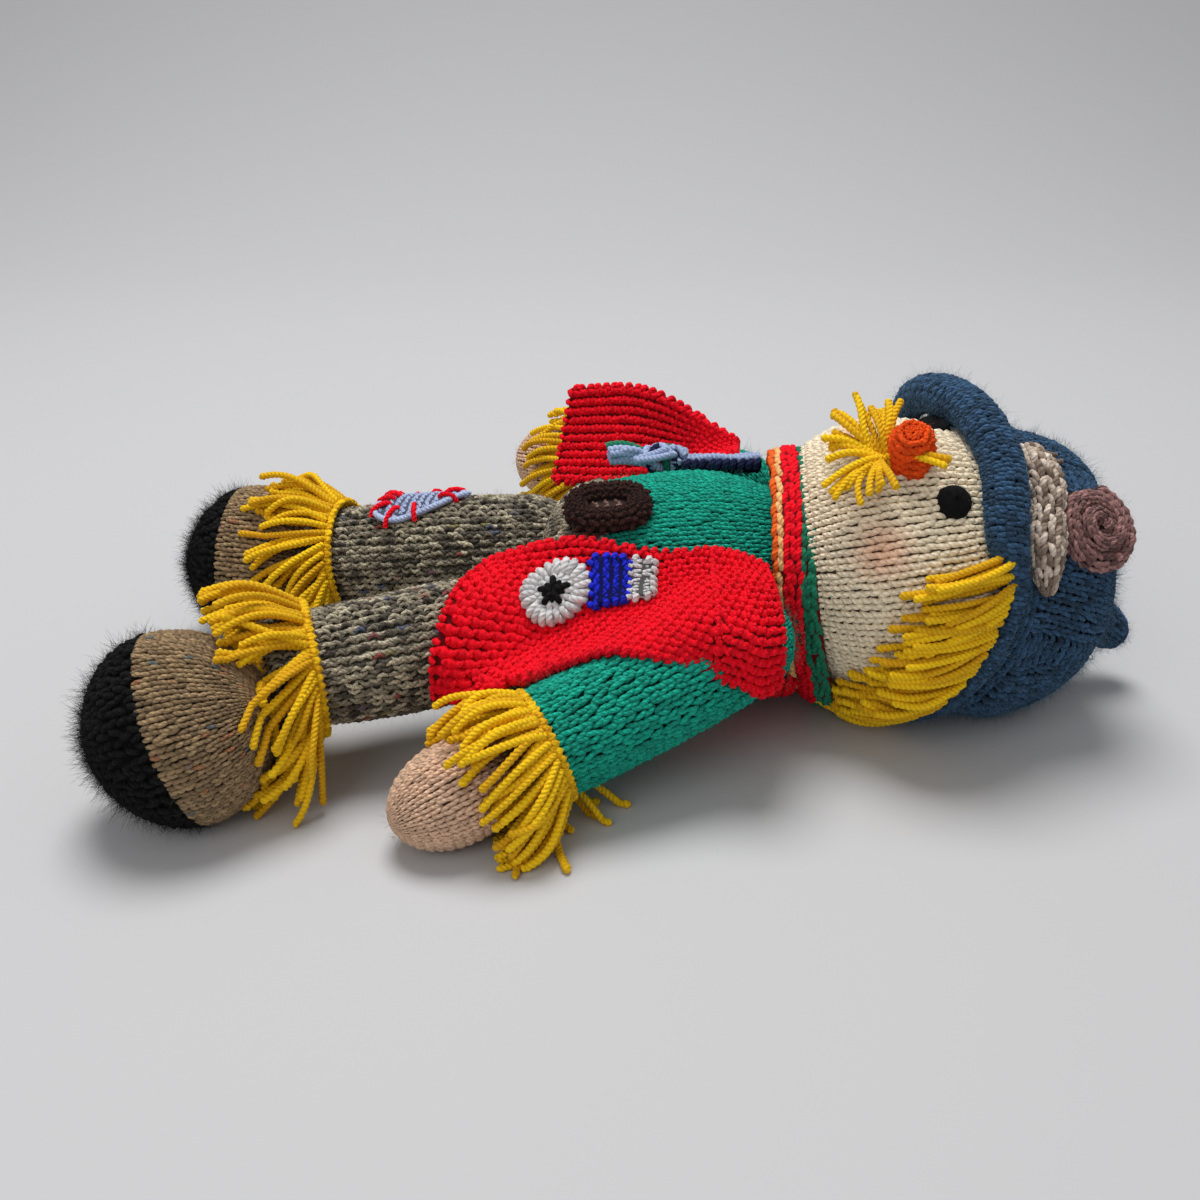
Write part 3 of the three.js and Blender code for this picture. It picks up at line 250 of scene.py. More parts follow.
class Piece:
    def __init__(self):
        self.vertices, self.faces, self.uvs, self.tones, self.looks = [], [], [], [], []
        self.count = 0

    def add(self, vertices, faces, tones, look, uvs=None):
        uvs = np.zeros(faces.shape + (2,)) if uvs is None else uvs
        self.vertices.append(vertices.reshape(-1, 3))
        self.faces.append(faces.reshape(-1, 4) + self.count)
        self.uvs.append(uvs.reshape(-1, 4, 2))
        self.tones.append(np.broadcast_to(tones, (self.faces[-1].shape[0],)).astype(float))
        self.looks.append(np.full(self.faces[-1].shape[0], look))
        self.count += self.vertices[-1].shape[0]

    def tubes(self, centres, outs, radii, sides=6, look=0, lobes=0, lobe_pitch=STRAND_TWIST):
        """Strands of yarn: centres (n, k, 3), the direction out of the fabric beside them, and radii."""
        n, k, _ = centres.shape
        outs = np.broadcast_to(outs, centres.shape)
        tangents = unit(np.gradient(centres, axis=1))
        side = unit(np.cross(tangents, outs))
        up = np.cross(side, tangents)
        steps = np.linalg.norm(np.diff(centres, axis=1), axis=2)
        lengths = np.concatenate([np.zeros((n, 1)), np.cumsum(steps, axis=1)], axis=1)
        angle = np.arange(sides) / sides * TURN
        radius = np.broadcast_to(radii, (n, k))[:, :, None] * np.ones(sides)
        if lobes:
            phase = lengths / lobe_pitch * TURN / lobes + rng.random((n, 1)) * TURN
            radius = radius * (0.88 + 0.12 * np.cos(lobes * (angle - phase[:, :, None])))
        ring = np.cos(angle)[:, None] * side[:, :, None, :] + np.sin(angle)[:, None] * up[:, :, None, :]
        vertices = centres[:, :, None, :] + radius[..., None] * ring
        i, j, m = np.meshgrid(np.arange(n), np.arange(k - 1), np.arange(sides), indexing="ij")
        nxt, turn = j + 1, (m + 1) % sides
        index = lambda a, b, c: (a * k + b) * sides + c
        faces = np.stack([index(i, j, m), index(i, j, turn), index(i, nxt, turn), index(i, nxt, m)], axis=-1)
        start = rng.random((n, 1, 1)) * 7
        u0 = lengths[i, j] / PLY_PITCH + start
        u1 = lengths[i, j + 1] / PLY_PITCH + start
        v0, v1 = m / sides, (m + 1) / sides
        corners = ((u0, v0), (u0, v1), (u1, v1), (u1, v0))
        uvs = np.stack([np.stack(corner, -1) for corner in corners], axis=-2)
        tones = np.repeat(rng.random(n), (k - 1) * sides)
        self.add(vertices, faces, tones, look, uvs)
        if sides > 3:
            self.end_caps(vertices, look)

    def end_caps(self, vertices, look):
        """Closes the two ends of every strand."""
        n, k, sides, _ = vertices.shape
        for ring, order in ((0, 1), (k - 1, -1)):
            corner = np.arange(sides // 2 - 1)
            quads = np.stack([corner, corner + 1, sides - 2 - corner, sides - 1 - corner], axis=-1)
            faces = np.arange(n)[:, None, None] * sides + quads[:, ::order]
            self.add(vertices[:, ring], faces, PLAIN, look)

    def plied(self, centres, outs, radii, sides=9, look=0):
        """Strands of two plies that are seen to twist."""
        self.tubes(centres, outs, radii, sides=sides, look=look, lobes=2)

    def skin(self, surface, columns, rows, depth=SKIN_DEPTH, side=1, tone=GAP_SHADED_TONE):
        """A smooth skin all round a form, under its stitches by a depth. By default it takes the gap tone,
        which its look darkens as painted shade.
        """
        s = np.linspace(0, 1, columns + 1)[:-1]
        t = np.linspace(0, 1, rows + 1)
        grid_s, grid_t = np.meshgrid(s, t, indexing="ij")
        points = surface(grid_s, grid_t) - normals(surface, grid_s, grid_t, side) * depth
        i, j = np.meshgrid(np.arange(columns), np.arange(rows), indexing="ij")
        nxt = (i + 1) % columns
        index = lambda a, b: a * (rows + 1) + b
        faces = np.stack([index(i, j), index(nxt, j), index(nxt, j + 1), index(i, j + 1)], axis=-1)
        self.add(points, faces[..., ::side], tone, 0)

    def build(self, name, body, looks, slot, node=None, padded=None):
        """The piece as an object that stands for a node of the part. For body, a function may join it."""
        points = np.concatenate(self.vertices) + SHIFT
        points[:, 2] = np.maximum(points[:, 2], LOWEST)
        faces = np.concatenate(self.faces).astype(np.int32)
        mesh = bpy.data.meshes.new(name)
        mesh.vertices.add(len(points))
        mesh.vertices.foreach_set("co", (points * MM).astype(np.float32).ravel())
        mesh.loops.add(faces.size)
        mesh.loops.foreach_set("vertex_index", faces.ravel())
        mesh.polygons.add(len(faces))
        mesh.polygons.foreach_set("loop_start", np.arange(len(faces), dtype=np.int32) * 4)
        mesh.polygons.foreach_set("material_index", np.concatenate(self.looks).astype(np.int32))
        mesh.polygons.foreach_set("use_smooth", np.ones(len(faces), bool))
        uvs = mesh.uv_layers.new(name="yarn")
        uvs.data.foreach_set("uv", np.concatenate(self.uvs).astype(np.float32).ravel())
        tone = mesh.attributes.new("tone", "FLOAT", "FACE")
        tone.data.foreach_set("value", np.concatenate(self.tones).astype(np.float32))
        mesh.update(calc_edges=True)
        mesh.validate()
        for look in looks:
            mesh.materials.append(LOOKS[look])
        piece = new_object(name, mesh)
        if callable(body):
            body(piece)
        else:
            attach(piece, body)
        if node:
            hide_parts(node)
        return piece


# Stitches: [across, along, out, thickness] points of each strand, across and along in stitches
def with_mirrored(leg):
    """Both legs of a plain stitch."""
    return leg, tuple((round(1 - across, 2), *rest) for across, *rest in leg)


KNIT = with_mirrored((
    (0.40, -0.30, -1.1, 0.8), (0.35, 0.05, 0.3, 1.0), (0.27, 0.42, 0.75, 1.1), (0.19, 0.80, 0.45, 1.0),
    (0.15, 1.15, -1.05, 0.8),
))
ROPE = with_mirrored((
    (0.34, -0.30, -1.0, 0.8), (0.31, 0.05, 0.4, 0.95), (0.25, 0.42, 0.8, 1.1), (0.19, 0.80, 0.5, 0.95),
    (0.16, 1.15, -0.9, 0.8),
))
PURL = (
    (
        (0.0, 0.1, -1.2, 0.8), (0.18, 0.32, 0.3, 1.0), (0.5, 0.46, 0.9, 1.05), (0.82, 0.32, 0.3, 1.0),
        (1.0, 0.1, -1.2, 0.8),
    ), (
        (0.5, 0.95, -1.2, 0.8), (0.68, 0.72, 0.2, 1.0), (1.0, 0.58, 0.8, 1.05), (1.32, 0.72, 0.2, 1.0),
        (1.5, 0.95, -1.2, 0.8),
    ),
)
BEAD = ((
    (0.02, 0.36, -1.3, 0.4), (0.16, 0.43, 0.0, 0.95), (0.5, 0.5, 0.7, 1.3), (0.84, 0.57, 0.0, 0.95),
    (0.98, 0.64, -1.3, 0.4),
),)


def stitches(piece, surface, columns, rows, template, where=None, look=0, side=1, thick=0.235,
             reach=(0.4, 1.3), lift=0.0, jitter=0.045, fill=0.0):
    """Knits a surface: the strands of one kind of stitch, on every stitch or where a test of its place says.

    A strand is as thick as a share of its stitch's width, and at least a share, fill, of its row's height.
    """
    i, j = np.meshgrid(np.arange(columns), np.arange(rows), indexing="ij")
    i, j = i.ravel(), j.ravel()
    if where is not None:
        kept = where(i, j)
        i, j = i[kept], j[kept]
    if not len(i):
        return
    for path in template:
        path = np.array(path)
        wander = rng.normal(0, jitter, (len(i), 1, 3))
        across = (i[:, None] + path[:, 0] + wander[:, :, 0]) / columns
        along = (j[:, None] + path[:, 1] + wander[:, :, 1]) / rows
        centre = surface(across, along)
        out = normals(surface, across, along, side)
        s, t, step = across[:, 2:3], along[:, 2:3], 1e-3
        width = np.linalg.norm(surface(s + step, t) - surface(s - step, t), axis=-1) / (2 * step) / columns
        radius = width * thick
        if fill:
            height = np.linalg.norm(surface(s, t + step) - surface(s, t - step), axis=-1) / (2 * step) / rows
            radius = np.maximum(radius, height * fill)
        radius = np.clip(radius, *reach)
        heights = path[:, 2] * radius + lift + wander[:, :, 2]
        centre = centre + out * heights[..., None]
        piece.tubes(centre, out, radius * path[:, 3], look=look)


def knitting(piece, surface, girth, size, template, lift=-0.6, thick=0.21, **options):
    """Stitches of one size all over a surface whose length it knows."""
    columns, rows = round(girth / size[0]), round(surface.length / size[1])
    stitches(piece, surface, columns, rows, template, lift=lift, thick=thick, **options)


def sideways(surface):
    """The same surface with its rows round the limb, so that its stitches lie along it."""
    return lambda s, t: surface(t, s)


def fibres(piece, surface, count, length, look=0, side=1, radius=0.022, span=(0, 1), lift=0.4, lean=0.7):
    """Loose fibres that stand off the yarn."""
    s = rng.random(count)
    t = span[0] + rng.random(count) * (span[1] - span[0])
    root = surface(s, t)
    out = normals(surface, s, t, side)
    drift = unit(rng.normal(size=(count, 3)))
    curl = unit(rng.normal(size=(count, 3)))
    reach = length * (0.3 + 0.9 * rng.random(count) ** 2)[:, None]
    steps = np.linspace(0, 1, 4)
    aim = unit(out + lean * drift)
    points = [root + out * lift + reach * (step * aim + 0.45 * step**2 * curl) for step in steps]
    centres = np.stack(points, axis=1)
    hints = np.repeat(unit(np.cross(out, curl) + 0.01)[:, None], len(steps), axis=1)
    piece.tubes(centres, hints, np.array([1, 0.9, 0.7, 0.3]) * radius, sides=3, look=look)


# Places on the head
HEAD_FLAT = 5.0  # how far the head is flattened on its upper far side
HEAD_FLAT_AT = (-58, 22)  # turn and rise of the flattest place
HEAD_FLAT_WIDTH = 38


def head_flat(turn, rise):
    """How far the head's surface lies under its round shape, at a turn and a rise in degrees."""
    away = ((turn - HEAD_FLAT_AT[0]) ** 2 + (rise - HEAD_FLAT_AT[1]) ** 2) / HEAD_FLAT_WIDTH**2
    return HEAD_FLAT * np.exp(-away)


def on_head(turn, rise, lift=0.0):
    """A place that stands on the head, turned from the face's middle and raised from the head's middle."""
    lift = lift - float(head_flat(turn, rise))
    turn, rise = math.radians(turn), math.radians(rise)
    out = np.array([math.cos(rise) * math.sin(turn), math.sin(rise), math.cos(rise) * math.cos(turn)])
    return head_place.place(np.array([0, HEAD_RISE, 0]) + out * (HEAD_RADIUS + lift), out, (0, 1, 0))


# Looks
def linear(colour):
    """A colour of 0 to 255 in Blender's own linear values."""
    return [((c / 255 + 0.055) / 1.055) ** 2.4 if c > 10 else c / 255 / 12.92 for c in colour] + [1.0]


GAP_SHADE = 0.14  # painted shade: how light the colour is made between the strands, where shade falls
FUZZ_SCALE = 2600  # of the noise that makes the fibrous grain
PATCHES_SCALE = 120  # of the noise that makes the dye uneven
PLY_SLANT = 3  # turns of the ply marks round a strand
BUMP_HEIGHT = 0.00035  # in metres
BLUSH_AT = ((30.9, -8.7), (-30.9, -8.7))  # turn and rise on the head
BLUSH_SIZE = 12
BLUSH_COLOUR = (255, 176, 150)
BLUSH_STRENGTH = 0.5


def wool(name, colour, spread=0.16, groove_bump_and_shade=0.45, sheen=0.25, flecks=(), blush=()):
    """Plied yarn: twist marks along each strand, with painted shade in their grooves, a fibrous grain, a
    shade of its own for each strand, and painted shade between the strands.
    """
    look = bpy.data.materials.new(name)
    look.use_nodes = True
    nodes, links = look.node_tree.nodes, look.node_tree.links

    def give(made, inputs):
        """Sets a node's inputs, each to a value or to another node's output."""
        for key, value in inputs.items():
            if isinstance(value, bpy.types.NodeSocket):
                links.new(value, made.inputs[key])
            else:
                made.inputs[key].default_value = value

    def node(kind, inputs=None, **settings):
        made = nodes.new(f"ShaderNode{kind}")
        for key, value in settings.items():
            setattr(made, key, value)
        give(made, inputs or {})
        return made

    def maths(operation, first, second=0):
        return node("Math", {0: first, 1: second}, operation=operation).outputs[0]

    def multiply(factor, first, second):
        inputs = {"Factor": factor, "A": first, "B": second}
        return node("Mix", inputs, data_type="RGBA", blend_type="MULTIPLY").outputs["Result"]

    tone = node("Attribute", attribute_name="tone").outputs["Fac"]
    place = node("TexCoord").outputs["Object"]
    yarn = node("SeparateXYZ", {0: node("UVMap", uv_map="yarn").outputs[0]})
    twist = maths("ADD", yarn.outputs[0], maths("MULTIPLY", yarn.outputs[1], PLY_SLANT))
    wave = maths("SINE", maths("MULTIPLY", twist, TURN))
    fuzz = node("TexNoise", {"Scale": FUZZ_SCALE, "Detail": 3, "Vector": place}).outputs["Fac"]
    patches = node("TexNoise", {"Scale": PATCHES_SCALE, "Vector": place}).outputs["Fac"]

    ramp = node("ValToRGB", {"Fac": tone})
    dark, light = [c * (1 - spread) for c in colour], [min(255, c * (1 + spread * 0.7)) for c in colour]
    stops = flecks or ((0, dark), (1, light))
    while len(ramp.color_ramp.elements) < len(stops):
        ramp.color_ramp.elements.new(0.5)
    for element, (at, stop) in zip(ramp.color_ramp.elements, stops):
        element.position = at
        element.color = linear(stop)

    # Painted shade along the ply grooves: the twist wave darkens the colour as well as the bump; then the
    # fibrous grain and the uneven dye.
    level = maths("ADD", maths("MULTIPLY", wave, groove_bump_and_shade * 0.22), maths("MULTIPLY", fuzz, GRAIN * 2))
    level = maths("ADD", level, maths("MULTIPLY", patches, GRAIN))
    level = maths("ADD", level, 1 - GRAIN * 1.5)
    # Painted shade between the strands: faces of the gap tone, the skins and webs, are darkened by GAP_SHADE.
    clear_of_gap_shade = maths("GREATER_THAN", tone, GAP_SHADED_TONE / 2)
    level = maths("MULTIPLY", level, maths("ADD", maths("MULTIPLY", clear_of_gap_shade, 1 - GAP_SHADE), GAP_SHADE))
    grey = node("CombineColor", {0: level, 1: level, 2: level}).outputs[0]
    tinted = multiply(1, ramp.outputs["Color"], grey)
    for turn, rise in blush:
        centre = (on_head(turn, rise).at + SHIFT) * MM
        away = node("VectorMath", {0: place, 1: centre}, operation="DISTANCE").outputs["Value"]
        limits = {"Value": away, "From Min": BLUSH_SIZE * MM, "From Max": 0, "To Max": BLUSH_STRENGTH}
        near = node("MapRange", limits, interpolation_type="SMOOTHSTEP").outputs["Result"]
        tinted = multiply(near, tinted, linear(BLUSH_COLOUR))

    height = maths("ADD", maths("MULTIPLY", wave, groove_bump_and_shade), maths("MULTIPLY", fuzz, 0.8))
    bump = node("Bump", {"Strength": 0.75, "Distance": BUMP_HEIGHT, "Height": height})
    give(nodes["Principled BSDF"], {
        "Base Color": tinted,
        "Normal": bump.outputs[0],
        "Roughness": 0.92,
        "Specular IOR Level": 0.25,
        "Sheen Weight": sheen,
        "Sheen Roughness": 0.55,
        "Sheen Tint": linear([min(255, c + 40) for c in colour]),
    })
    return look


FLECK_SHARE = 0.045  # of the yarn's length
FLECK_EDGE = 0.002


def heather(base, flecks):
    """The shades of a mixed yarn: a slow run of its base shades, and short steps of its rare flecks."""
    last = 1 - FLECK_SHARE
    stops = [(last * k / (len(base) - 1), shade) for k, shade in enumerate(base)]
    step = (1 - last) / len(flecks)
    for k, fleck in enumerate(flecks):
        stops += [(last + step * k + FLECK_EDGE, fleck), (last + step * (k + 1) - FLECK_EDGE, fleck)]
    return tuple(stops)


TWEED = heather(
    ((206, 196, 170), (168, 158, 136), (142, 134, 116), (104, 97, 85), (62, 57, 52), (178, 168, 144)),
    ((150, 78, 70), (92, 98, 118), (132, 126, 84), (170, 160, 138)),
)
BOOT_TWEED = heather(
    ((176, 148, 112), (160, 134, 100), (146, 121, 90), (122, 101, 76), (166, 141, 106)),
    ((160, 112, 82), (104, 110, 108), (168, 118, 84)),
)

SNAIL_SHADES = (
    (0, (238, 222, 206)), (0.3, (206, 188, 170)), (0.6, (170, 150, 134)), (0.85, (122, 104, 92)),
)

LOOKS = {
    "green": wool("green_wool", (20, 160, 136), spread=0.13),
    "tweed": wool("tweed_wool", (150, 140, 118), flecks=TWEED, sheen=0.1),
    "boot": wool("boot_wool", (140, 118, 92), flecks=BOOT_TWEED, sheen=0.1),
    "sole": wool("sole_mohair", (15, 15, 16), sheen=0.05),
    "straw": wool("yellow_straw", (255, 188, 20), spread=0.14, groove_bump_and_shade=0.5, sheen=0.3),
    "skin": wool("skin_wool", (222, 184, 154), spread=0.08),
    "cream": wool("cream_wool", (246, 230, 200), spread=0.05, blush=BLUSH_AT),
    "felt": wool("black_felt", (7, 7, 8), sheen=0.1),
    "orange": wool("orange_wool", (245, 82, 16), spread=0.1),
    "denim": wool("blue_mohair", (48, 76, 104), spread=0.32, sheen=0.45),
    # The hat's loose fibres: the hat's own blue, made lighter as a painted highlight of the light they catch
    # at their edges.
    "fuzz_highlight": wool("blue_mohair_fuzz_highlight", (112, 148, 174), spread=0.14, sheen=0.4),
    "snail": wool("snail_wool", (178, 158, 138), flecks=SNAIL_SHADES),
    "shell": wool("shell_wool", (138, 102, 98), spread=0.36),
    "red": wool("red_wool", (242, 4, 32), spread=0.07, sheen=0.12),
    "grey": wool("medal_wool", (212, 210, 210), spread=0.08),
    "ribbon": wool("ribbon_wool", (28, 42, 205), spread=0.12),
    "brown": wool("buckle_wool", (52, 28, 22), spread=0.15),
    "mauve": wool("mauve_wool", (150, 115, 105), spread=0.1),
    "sky": wool("sky_wool", (165, 182, 218), spread=0.08),
    "navy": wool("navy_wool", (20, 26, 62), spread=0.1),
    "scarf_orange": wool("scarf_orange", (240, 100, 30), spread=0.08),
    "peach": wool("peach_wool", (240, 188, 122), spread=0.06),
    "scarf_green": wool("scarf_green", (30, 120, 90), spread=0.1),
    "patch": wool("patch_wool", (178, 192, 226), spread=0.06),
}


# Body
FAR_DIP = 3.8  # how far the stuffing has sunk on the upper far side
FAR_DIP_AT = -60  # degrees from the body's front
FAR_DIP_WIDTH = 38


def dip(points):
    """Sinks what lies on the body's upper far side."""
    local = torso_place.into(points)
    degrees = np.degrees(np.arctan2(local[..., 0], local[..., 2]))
    depth = FAR_DIP * np.exp(-(((degrees - FAR_DIP_AT) / FAR_DIP_WIDTH) ** 2))
    radius = np.maximum(np.hypot(local[..., 0], local[..., 2]), 1)
    depth = depth * np.clip(radius / SEAT_RADIUS, 0, 1)
    return torso_place.out(local * (1 - xyz(depth, 0, depth) / radius[..., None]))


def dipped(surface):
    def lowered(s, t):
        return dip(surface(s, t))

    lowered.length = surface.length
    return lowered


def make_torso():
    surface = dipped(revolve(torso_place, [
        (TORSO_RADIUS - 1, 0),
        (TORSO_RADIUS, TORSO_LENGTH * 0.3),
        (CHEST_RADIUS + TORSO_SWELL, TORSO_LENGTH * 0.65),
        ((CHEST_RADIUS + NECK_RADIUS) / 2, TORSO_LENGTH * 0.88),
        (NECK_RADIUS, TORSO_LENGTH),
    ]))
    piece = Piece()
    piece.skin(surface, 60, 16)
    knitting(piece, surface, TURN * TORSO_RADIUS, TORSO_STITCH, ROPE, jitter=0.07)
    fibres(piece, surface, 2000, 2.6, span=(0.05, 0.75))
    piece.build("green_torso", "body", ["green"], "green_wool", "sweater_torso", padded=0.9)


def tweed_rows(piece, surface, girth):
    """Ridges of tweed yarn that run along the limb."""
    columns, rows = round(surface.length / TWEED_STITCH[0]), round(girth / TWEED_STITCH[1])
    stitches(piece, sideways(surface), columns, rows, PURL, side=-1, thick=0.18, lift=-0.6, jitter=0.08)


def make_seat():
    surface = dipped(revolve(torso_place, [
        (2, -SEAT_LENGTH),
        (SEAT_RADIUS * 0.56, -SEAT_LENGTH * 0.84),
        (SEAT_RADIUS * 0.87, -SEAT_LENGTH * 0.45),
        (SEAT_RADIUS - 1, -0.4),
    ]))
    piece = Piece()
    piece.skin(surface, 60, 14)
    tweed_rows(piece, surface, TURN * SEAT_RADIUS)
    piece.build("tweed_seat", "body", ["tweed"], "tweed_wool", "trousers_seat", padded=0.85)


def limb_stations(joint_radius, stations):
    """A round end about the joint, then the limb's stations."""
    cap = [(joint_radius * math.sin(a), -joint_radius * math.cos(a)) for a in np.linspace(0.25, 1.3, 4)]
    return [*cap, (joint_radius, 0), *stations]


def leg_surface(side):
    return revolve(leg_places[side], limb_stations(HIP_RADIUS, [
        (THIGH_RADIUS, LEG_LENGTH * 0.3),
        (THIGH_RADIUS - 0.6, LEG_LENGTH * 0.65),
        (ANKLE_RADIUS, LEG_LENGTH),
    ]))


def boot_surface(side, first, last):
    """A part of the boot's rounded shape, between two shares of the way from its heel side to its sole."""
    place = boot_places[side]
    wide, high, long = BOOT_HALF

    def surface(s, t):
        angle = TURN * s
        polar = math.pi * (first + (last - first) * t)
        lump = 1 + 0.012 * np.sin(3 * angle + 2 * polar) + 0.01 * np.sin(5 * angle - 3 * polar)
        ring = np.sin(polar) * lump
        return place.out(xyz(wide * ring * np.sin(angle), -high * np.cos(polar), long * ring * np.cos(angle)))

    surface.length = math.pi * high * (last - first)
    return surface


def make_leg(side):
    surface = leg_surface(side)
    piece = Piece()
    piece.skin(surface, 36, 30)
    tweed_rows(piece, surface, TURN * THIGH_RADIUS)
    fibres(piece, surface, 1400, 3.0)
    piece.build(f"{side}_trouser_leg", f"{side}_leg", ["tweed"], "tweed_wool", f"{side}_leg", padded=0.9)


def sole_edge(side):
    """Where the sole begins, as a share of the way over the boot."""
    return math.acos(-SOLE_FROM[side] / BOOT_HALF[1]) / math.pi


def make_boot(side):
    surface = boot_surface(side, 0.03, sole_edge(side))
    piece = Piece()
    piece.skin(surface, 40, 16)
    knitting(piece, surface, TURN * BOOT_HALF[0] * 0.96, FINE, ROPE, jitter=0.06)
    fibres(piece, surface, 900, 2.6)
    piece.build(f"{side}_boot_upper", f"{side}_leg", ["boot"], "boot_wool", f"{side}_boot", padded=0.9)


def make_sole(side):
    surface = boot_surface(side, sole_edge(side), 0.995)
    piece = Piece()
    piece.skin(surface, 40, 14, 0.9)
    girth = TURN * BOOT_HALF[0] * 0.9
    knitting(piece, surface, girth, THICK, KNIT, lift=-0.9, thick=0.235, jitter=0.12, reach=(0.4, 0.9))
    fibres(piece, surface, 13000, 4.4, radius=0.04, lift=-0.4, lean=1.2)
    piece.build(f"{side}_boot_sole", f"{side}_leg", ["sole"], "sole_mohair", f"{side}_sole", padded=0.9)


# Straw: cut lengths of yarn that start under a band and lie over what is next to it
STRAND_STEPS = 54
STRAND_RADIUS = 1.15
STRAND_ARCH = 0.85  # share of a half turn that a strand bends over its length
STRAND_WAVE = (0.9, 0.6)  # how far a strand wanders aside, and the turns of its wave


def straw_strands(piece, starts, ends, lifts, droop, radius=STRAND_RADIUS, clear=None):
    """Strands from starts to ends that arch up by their lifts and hang by their droop."""
    share = np.linspace(0, 1, STRAND_STEPS)[None, :, None]
    arch = np.sin(share * math.pi * STRAND_ARCH)
    down = np.array([0, 0, -1.0])
    lines = starts[:, None] * (1 - share) + ends[:, None] * share
    lines = lines + lifts[:, None] * arch + down * droop[:, None, None] * share**2
    amount, phase = rng.normal(0, 1, (len(starts), 1, 3)), rng.random((len(starts), 1, 1)) * 3
    lines = lines + amount * np.sin(share * TURN * STRAND_WAVE[1] + phase) * STRAND_WAVE[0] * share
    if clear is not None:
        lines = clear(lines)
    hint = unit(np.broadcast_to(lifts[:, None] + [0.01, 0.02, 0.03], lines.shape))
    taper = np.ones(STRAND_STEPS)
    taper[-1], taper[-2], taper[-4:-2], taper[0] = 0.55, 0.95, 1.1, 0.7
    radii = radius * (0.9 + 0.2 * rng.random((len(starts), 1))) * taper
    piece.plied(lines, hint, radii, sides=8)


STRAW_LAYERS = 3


def straw_skirt(place, radius, start, length, spread, count, hang, clear):
    """Layers of strands all round a limb's end, of which those on its sides hang the more.

    They start at a place along the limb, and their ends stand off the limb by a spread.
    """
    piece = Piece()
    for layer in range(STRAW_LAYERS):
        angle = (np.arange(count) + rng.normal(0, 0.3, count) + 0.5 * layer) / count * TURN
        ray = round_axis(1, angle, 0)
        out = place.turn(ray)
        reach = length * (0.8 + 0.4 * rng.random(count))
        sideways_share = np.clip(1 - np.abs(out[:, 2]) ** 1.5, 0, 1) * np.clip(out[:, 2] + 1.2, 0, 1)
        hanging = hang * sideways_share * (0.6 + 0.8 * rng.random(count))
        turn = rng.normal(0, 0.2, count)
        lean = round_axis(1, angle + turn, 0)
        starts = place.out(ray * (radius + 1.0 + 0.9 * layer) + [0, start, 0])
        flare = spread * (0.4 + 0.8 * rng.random(count)) + 1.5 * layer
        ahead = xyz(0, reach * np.cos(hanging), 0)
        ends = place.out(lean * (radius + flare)[:, None] + ahead + [0, start, 0])
        ends[:, 2] -= reach * np.sin(hanging)
        lifts = out * (2.0 + 1.3 * layer)
        straw_strands(piece, starts, ends, lifts, droop=0.5 + 2.5 * rng.random(count), clear=clear)
    make_band(piece, place, radius, start, count)
    return piece


def make_band(piece, place, radius, start, count):
    """The row of loops by which the straw is drawn through the fabric's edge."""
    angle = np.arange(count) / count * TURN
    steps = np.linspace(0, 1, 9)
    across = TURN / count
    lines = []
    for a in angle:
        turn = a + across * (steps - 0.5) * 1.5
        out = radius + 0.6 + 1.9 * np.sin(steps * math.pi)
        along = start + 1.2 * np.cos(steps * TURN) - 0.5
        lines.append(round_axis(out, turn, along))
    local = np.array(lines)
    rays = np.array(local)
    rays[..., 1] = 0
    piece.plied(place.out(local), place.turn(unit(rays)), 1.1, sides=7)


def outside(place, half, middle=(0, 0, 0)):
    """Keeps strands outside a rounded shape, and above the floor."""
    half = np.array(half) + 1.0

    def clear(lines):
        local = place.into(lines) - middle
        inside = np.linalg.norm(local / half, axis=-1, keepdims=True)
        local = np.where(inside < 1, local / np.maximum(inside, 0.05), local)
        lines = place.out(local + middle)
        lines[..., 2] = np.maximum(lines[..., 2], FLOOR_STRAND)
        return lines

    return clear


FLOOR_STRAND = 1.2  # height at which a strand lies on the floor
LOOSE_ENDS = (
    (-8.2, -57.1), (0, -54.8), (7.6, -56.2), (0, -61.7), (3.2, -64.8), (-6.6, -69.1), (-13.5, -74.6),
    (-8.1, -84.8), (-21.4, -87.1),
)


def loose_strands(piece, place, radius, start):
    """Long strands of the near cuff that have come to lie on the floor."""
    count = len(LOOSE_ENDS)
    angle = np.radians(np.linspace(95, 130, count))
    starts = place.out(round_axis(1, angle, 0) * (radius + 1.5) + [0, start + 1, 0])
    ends = np.array([(x, y, FLOOR_STRAND) for x, y in LOOSE_ENDS])
    lifts = np.repeat([[0, -1.5, 1.0]], count, axis=0)
    droop = 3 + 2 * rng.random(count)
    straw_strands(piece, starts, ends, lifts, droop=droop, clear=outside(place, (1, 1, 1)))


def make_straw(side):
    boot = outside(boot_places[side], BOOT_HALF)
    ankle = straw_skirt(leg_places[side], ANKLE_RADIUS + 1.0, ANKLE_STRAW_FROM,
                        length=21.5, spread=9, count=52, hang=1.15, clear=boot)
    ankle.build(f"{side}_ankle_strands", f"{side}_leg", ["straw"], "yellow_straw_yarn", f"{side}_ankle_straw")
    hand = outside(arm_places[side], (HAND_RADIUS, HAND_HALF_LENGTH, HAND_RADIUS), (0, HAND_MIDDLE, 0))
    cuff = straw_skirt(arm_places[side], WRIST_RADIUS + 1.0, CUFF_STRAW_FROM,
                       length=20, spread=3.0, count=46, hang=0.5, clear=hand)
    if side == "left":
        loose_strands(cuff, arm_places[side], WRIST_RADIUS, CUFF_STRAW_FROM)
    cuff.build(f"{side}_cuff_strands", f"{side}_arm", ["straw"], "yellow_straw_yarn", f"{side}_cuff_straw")


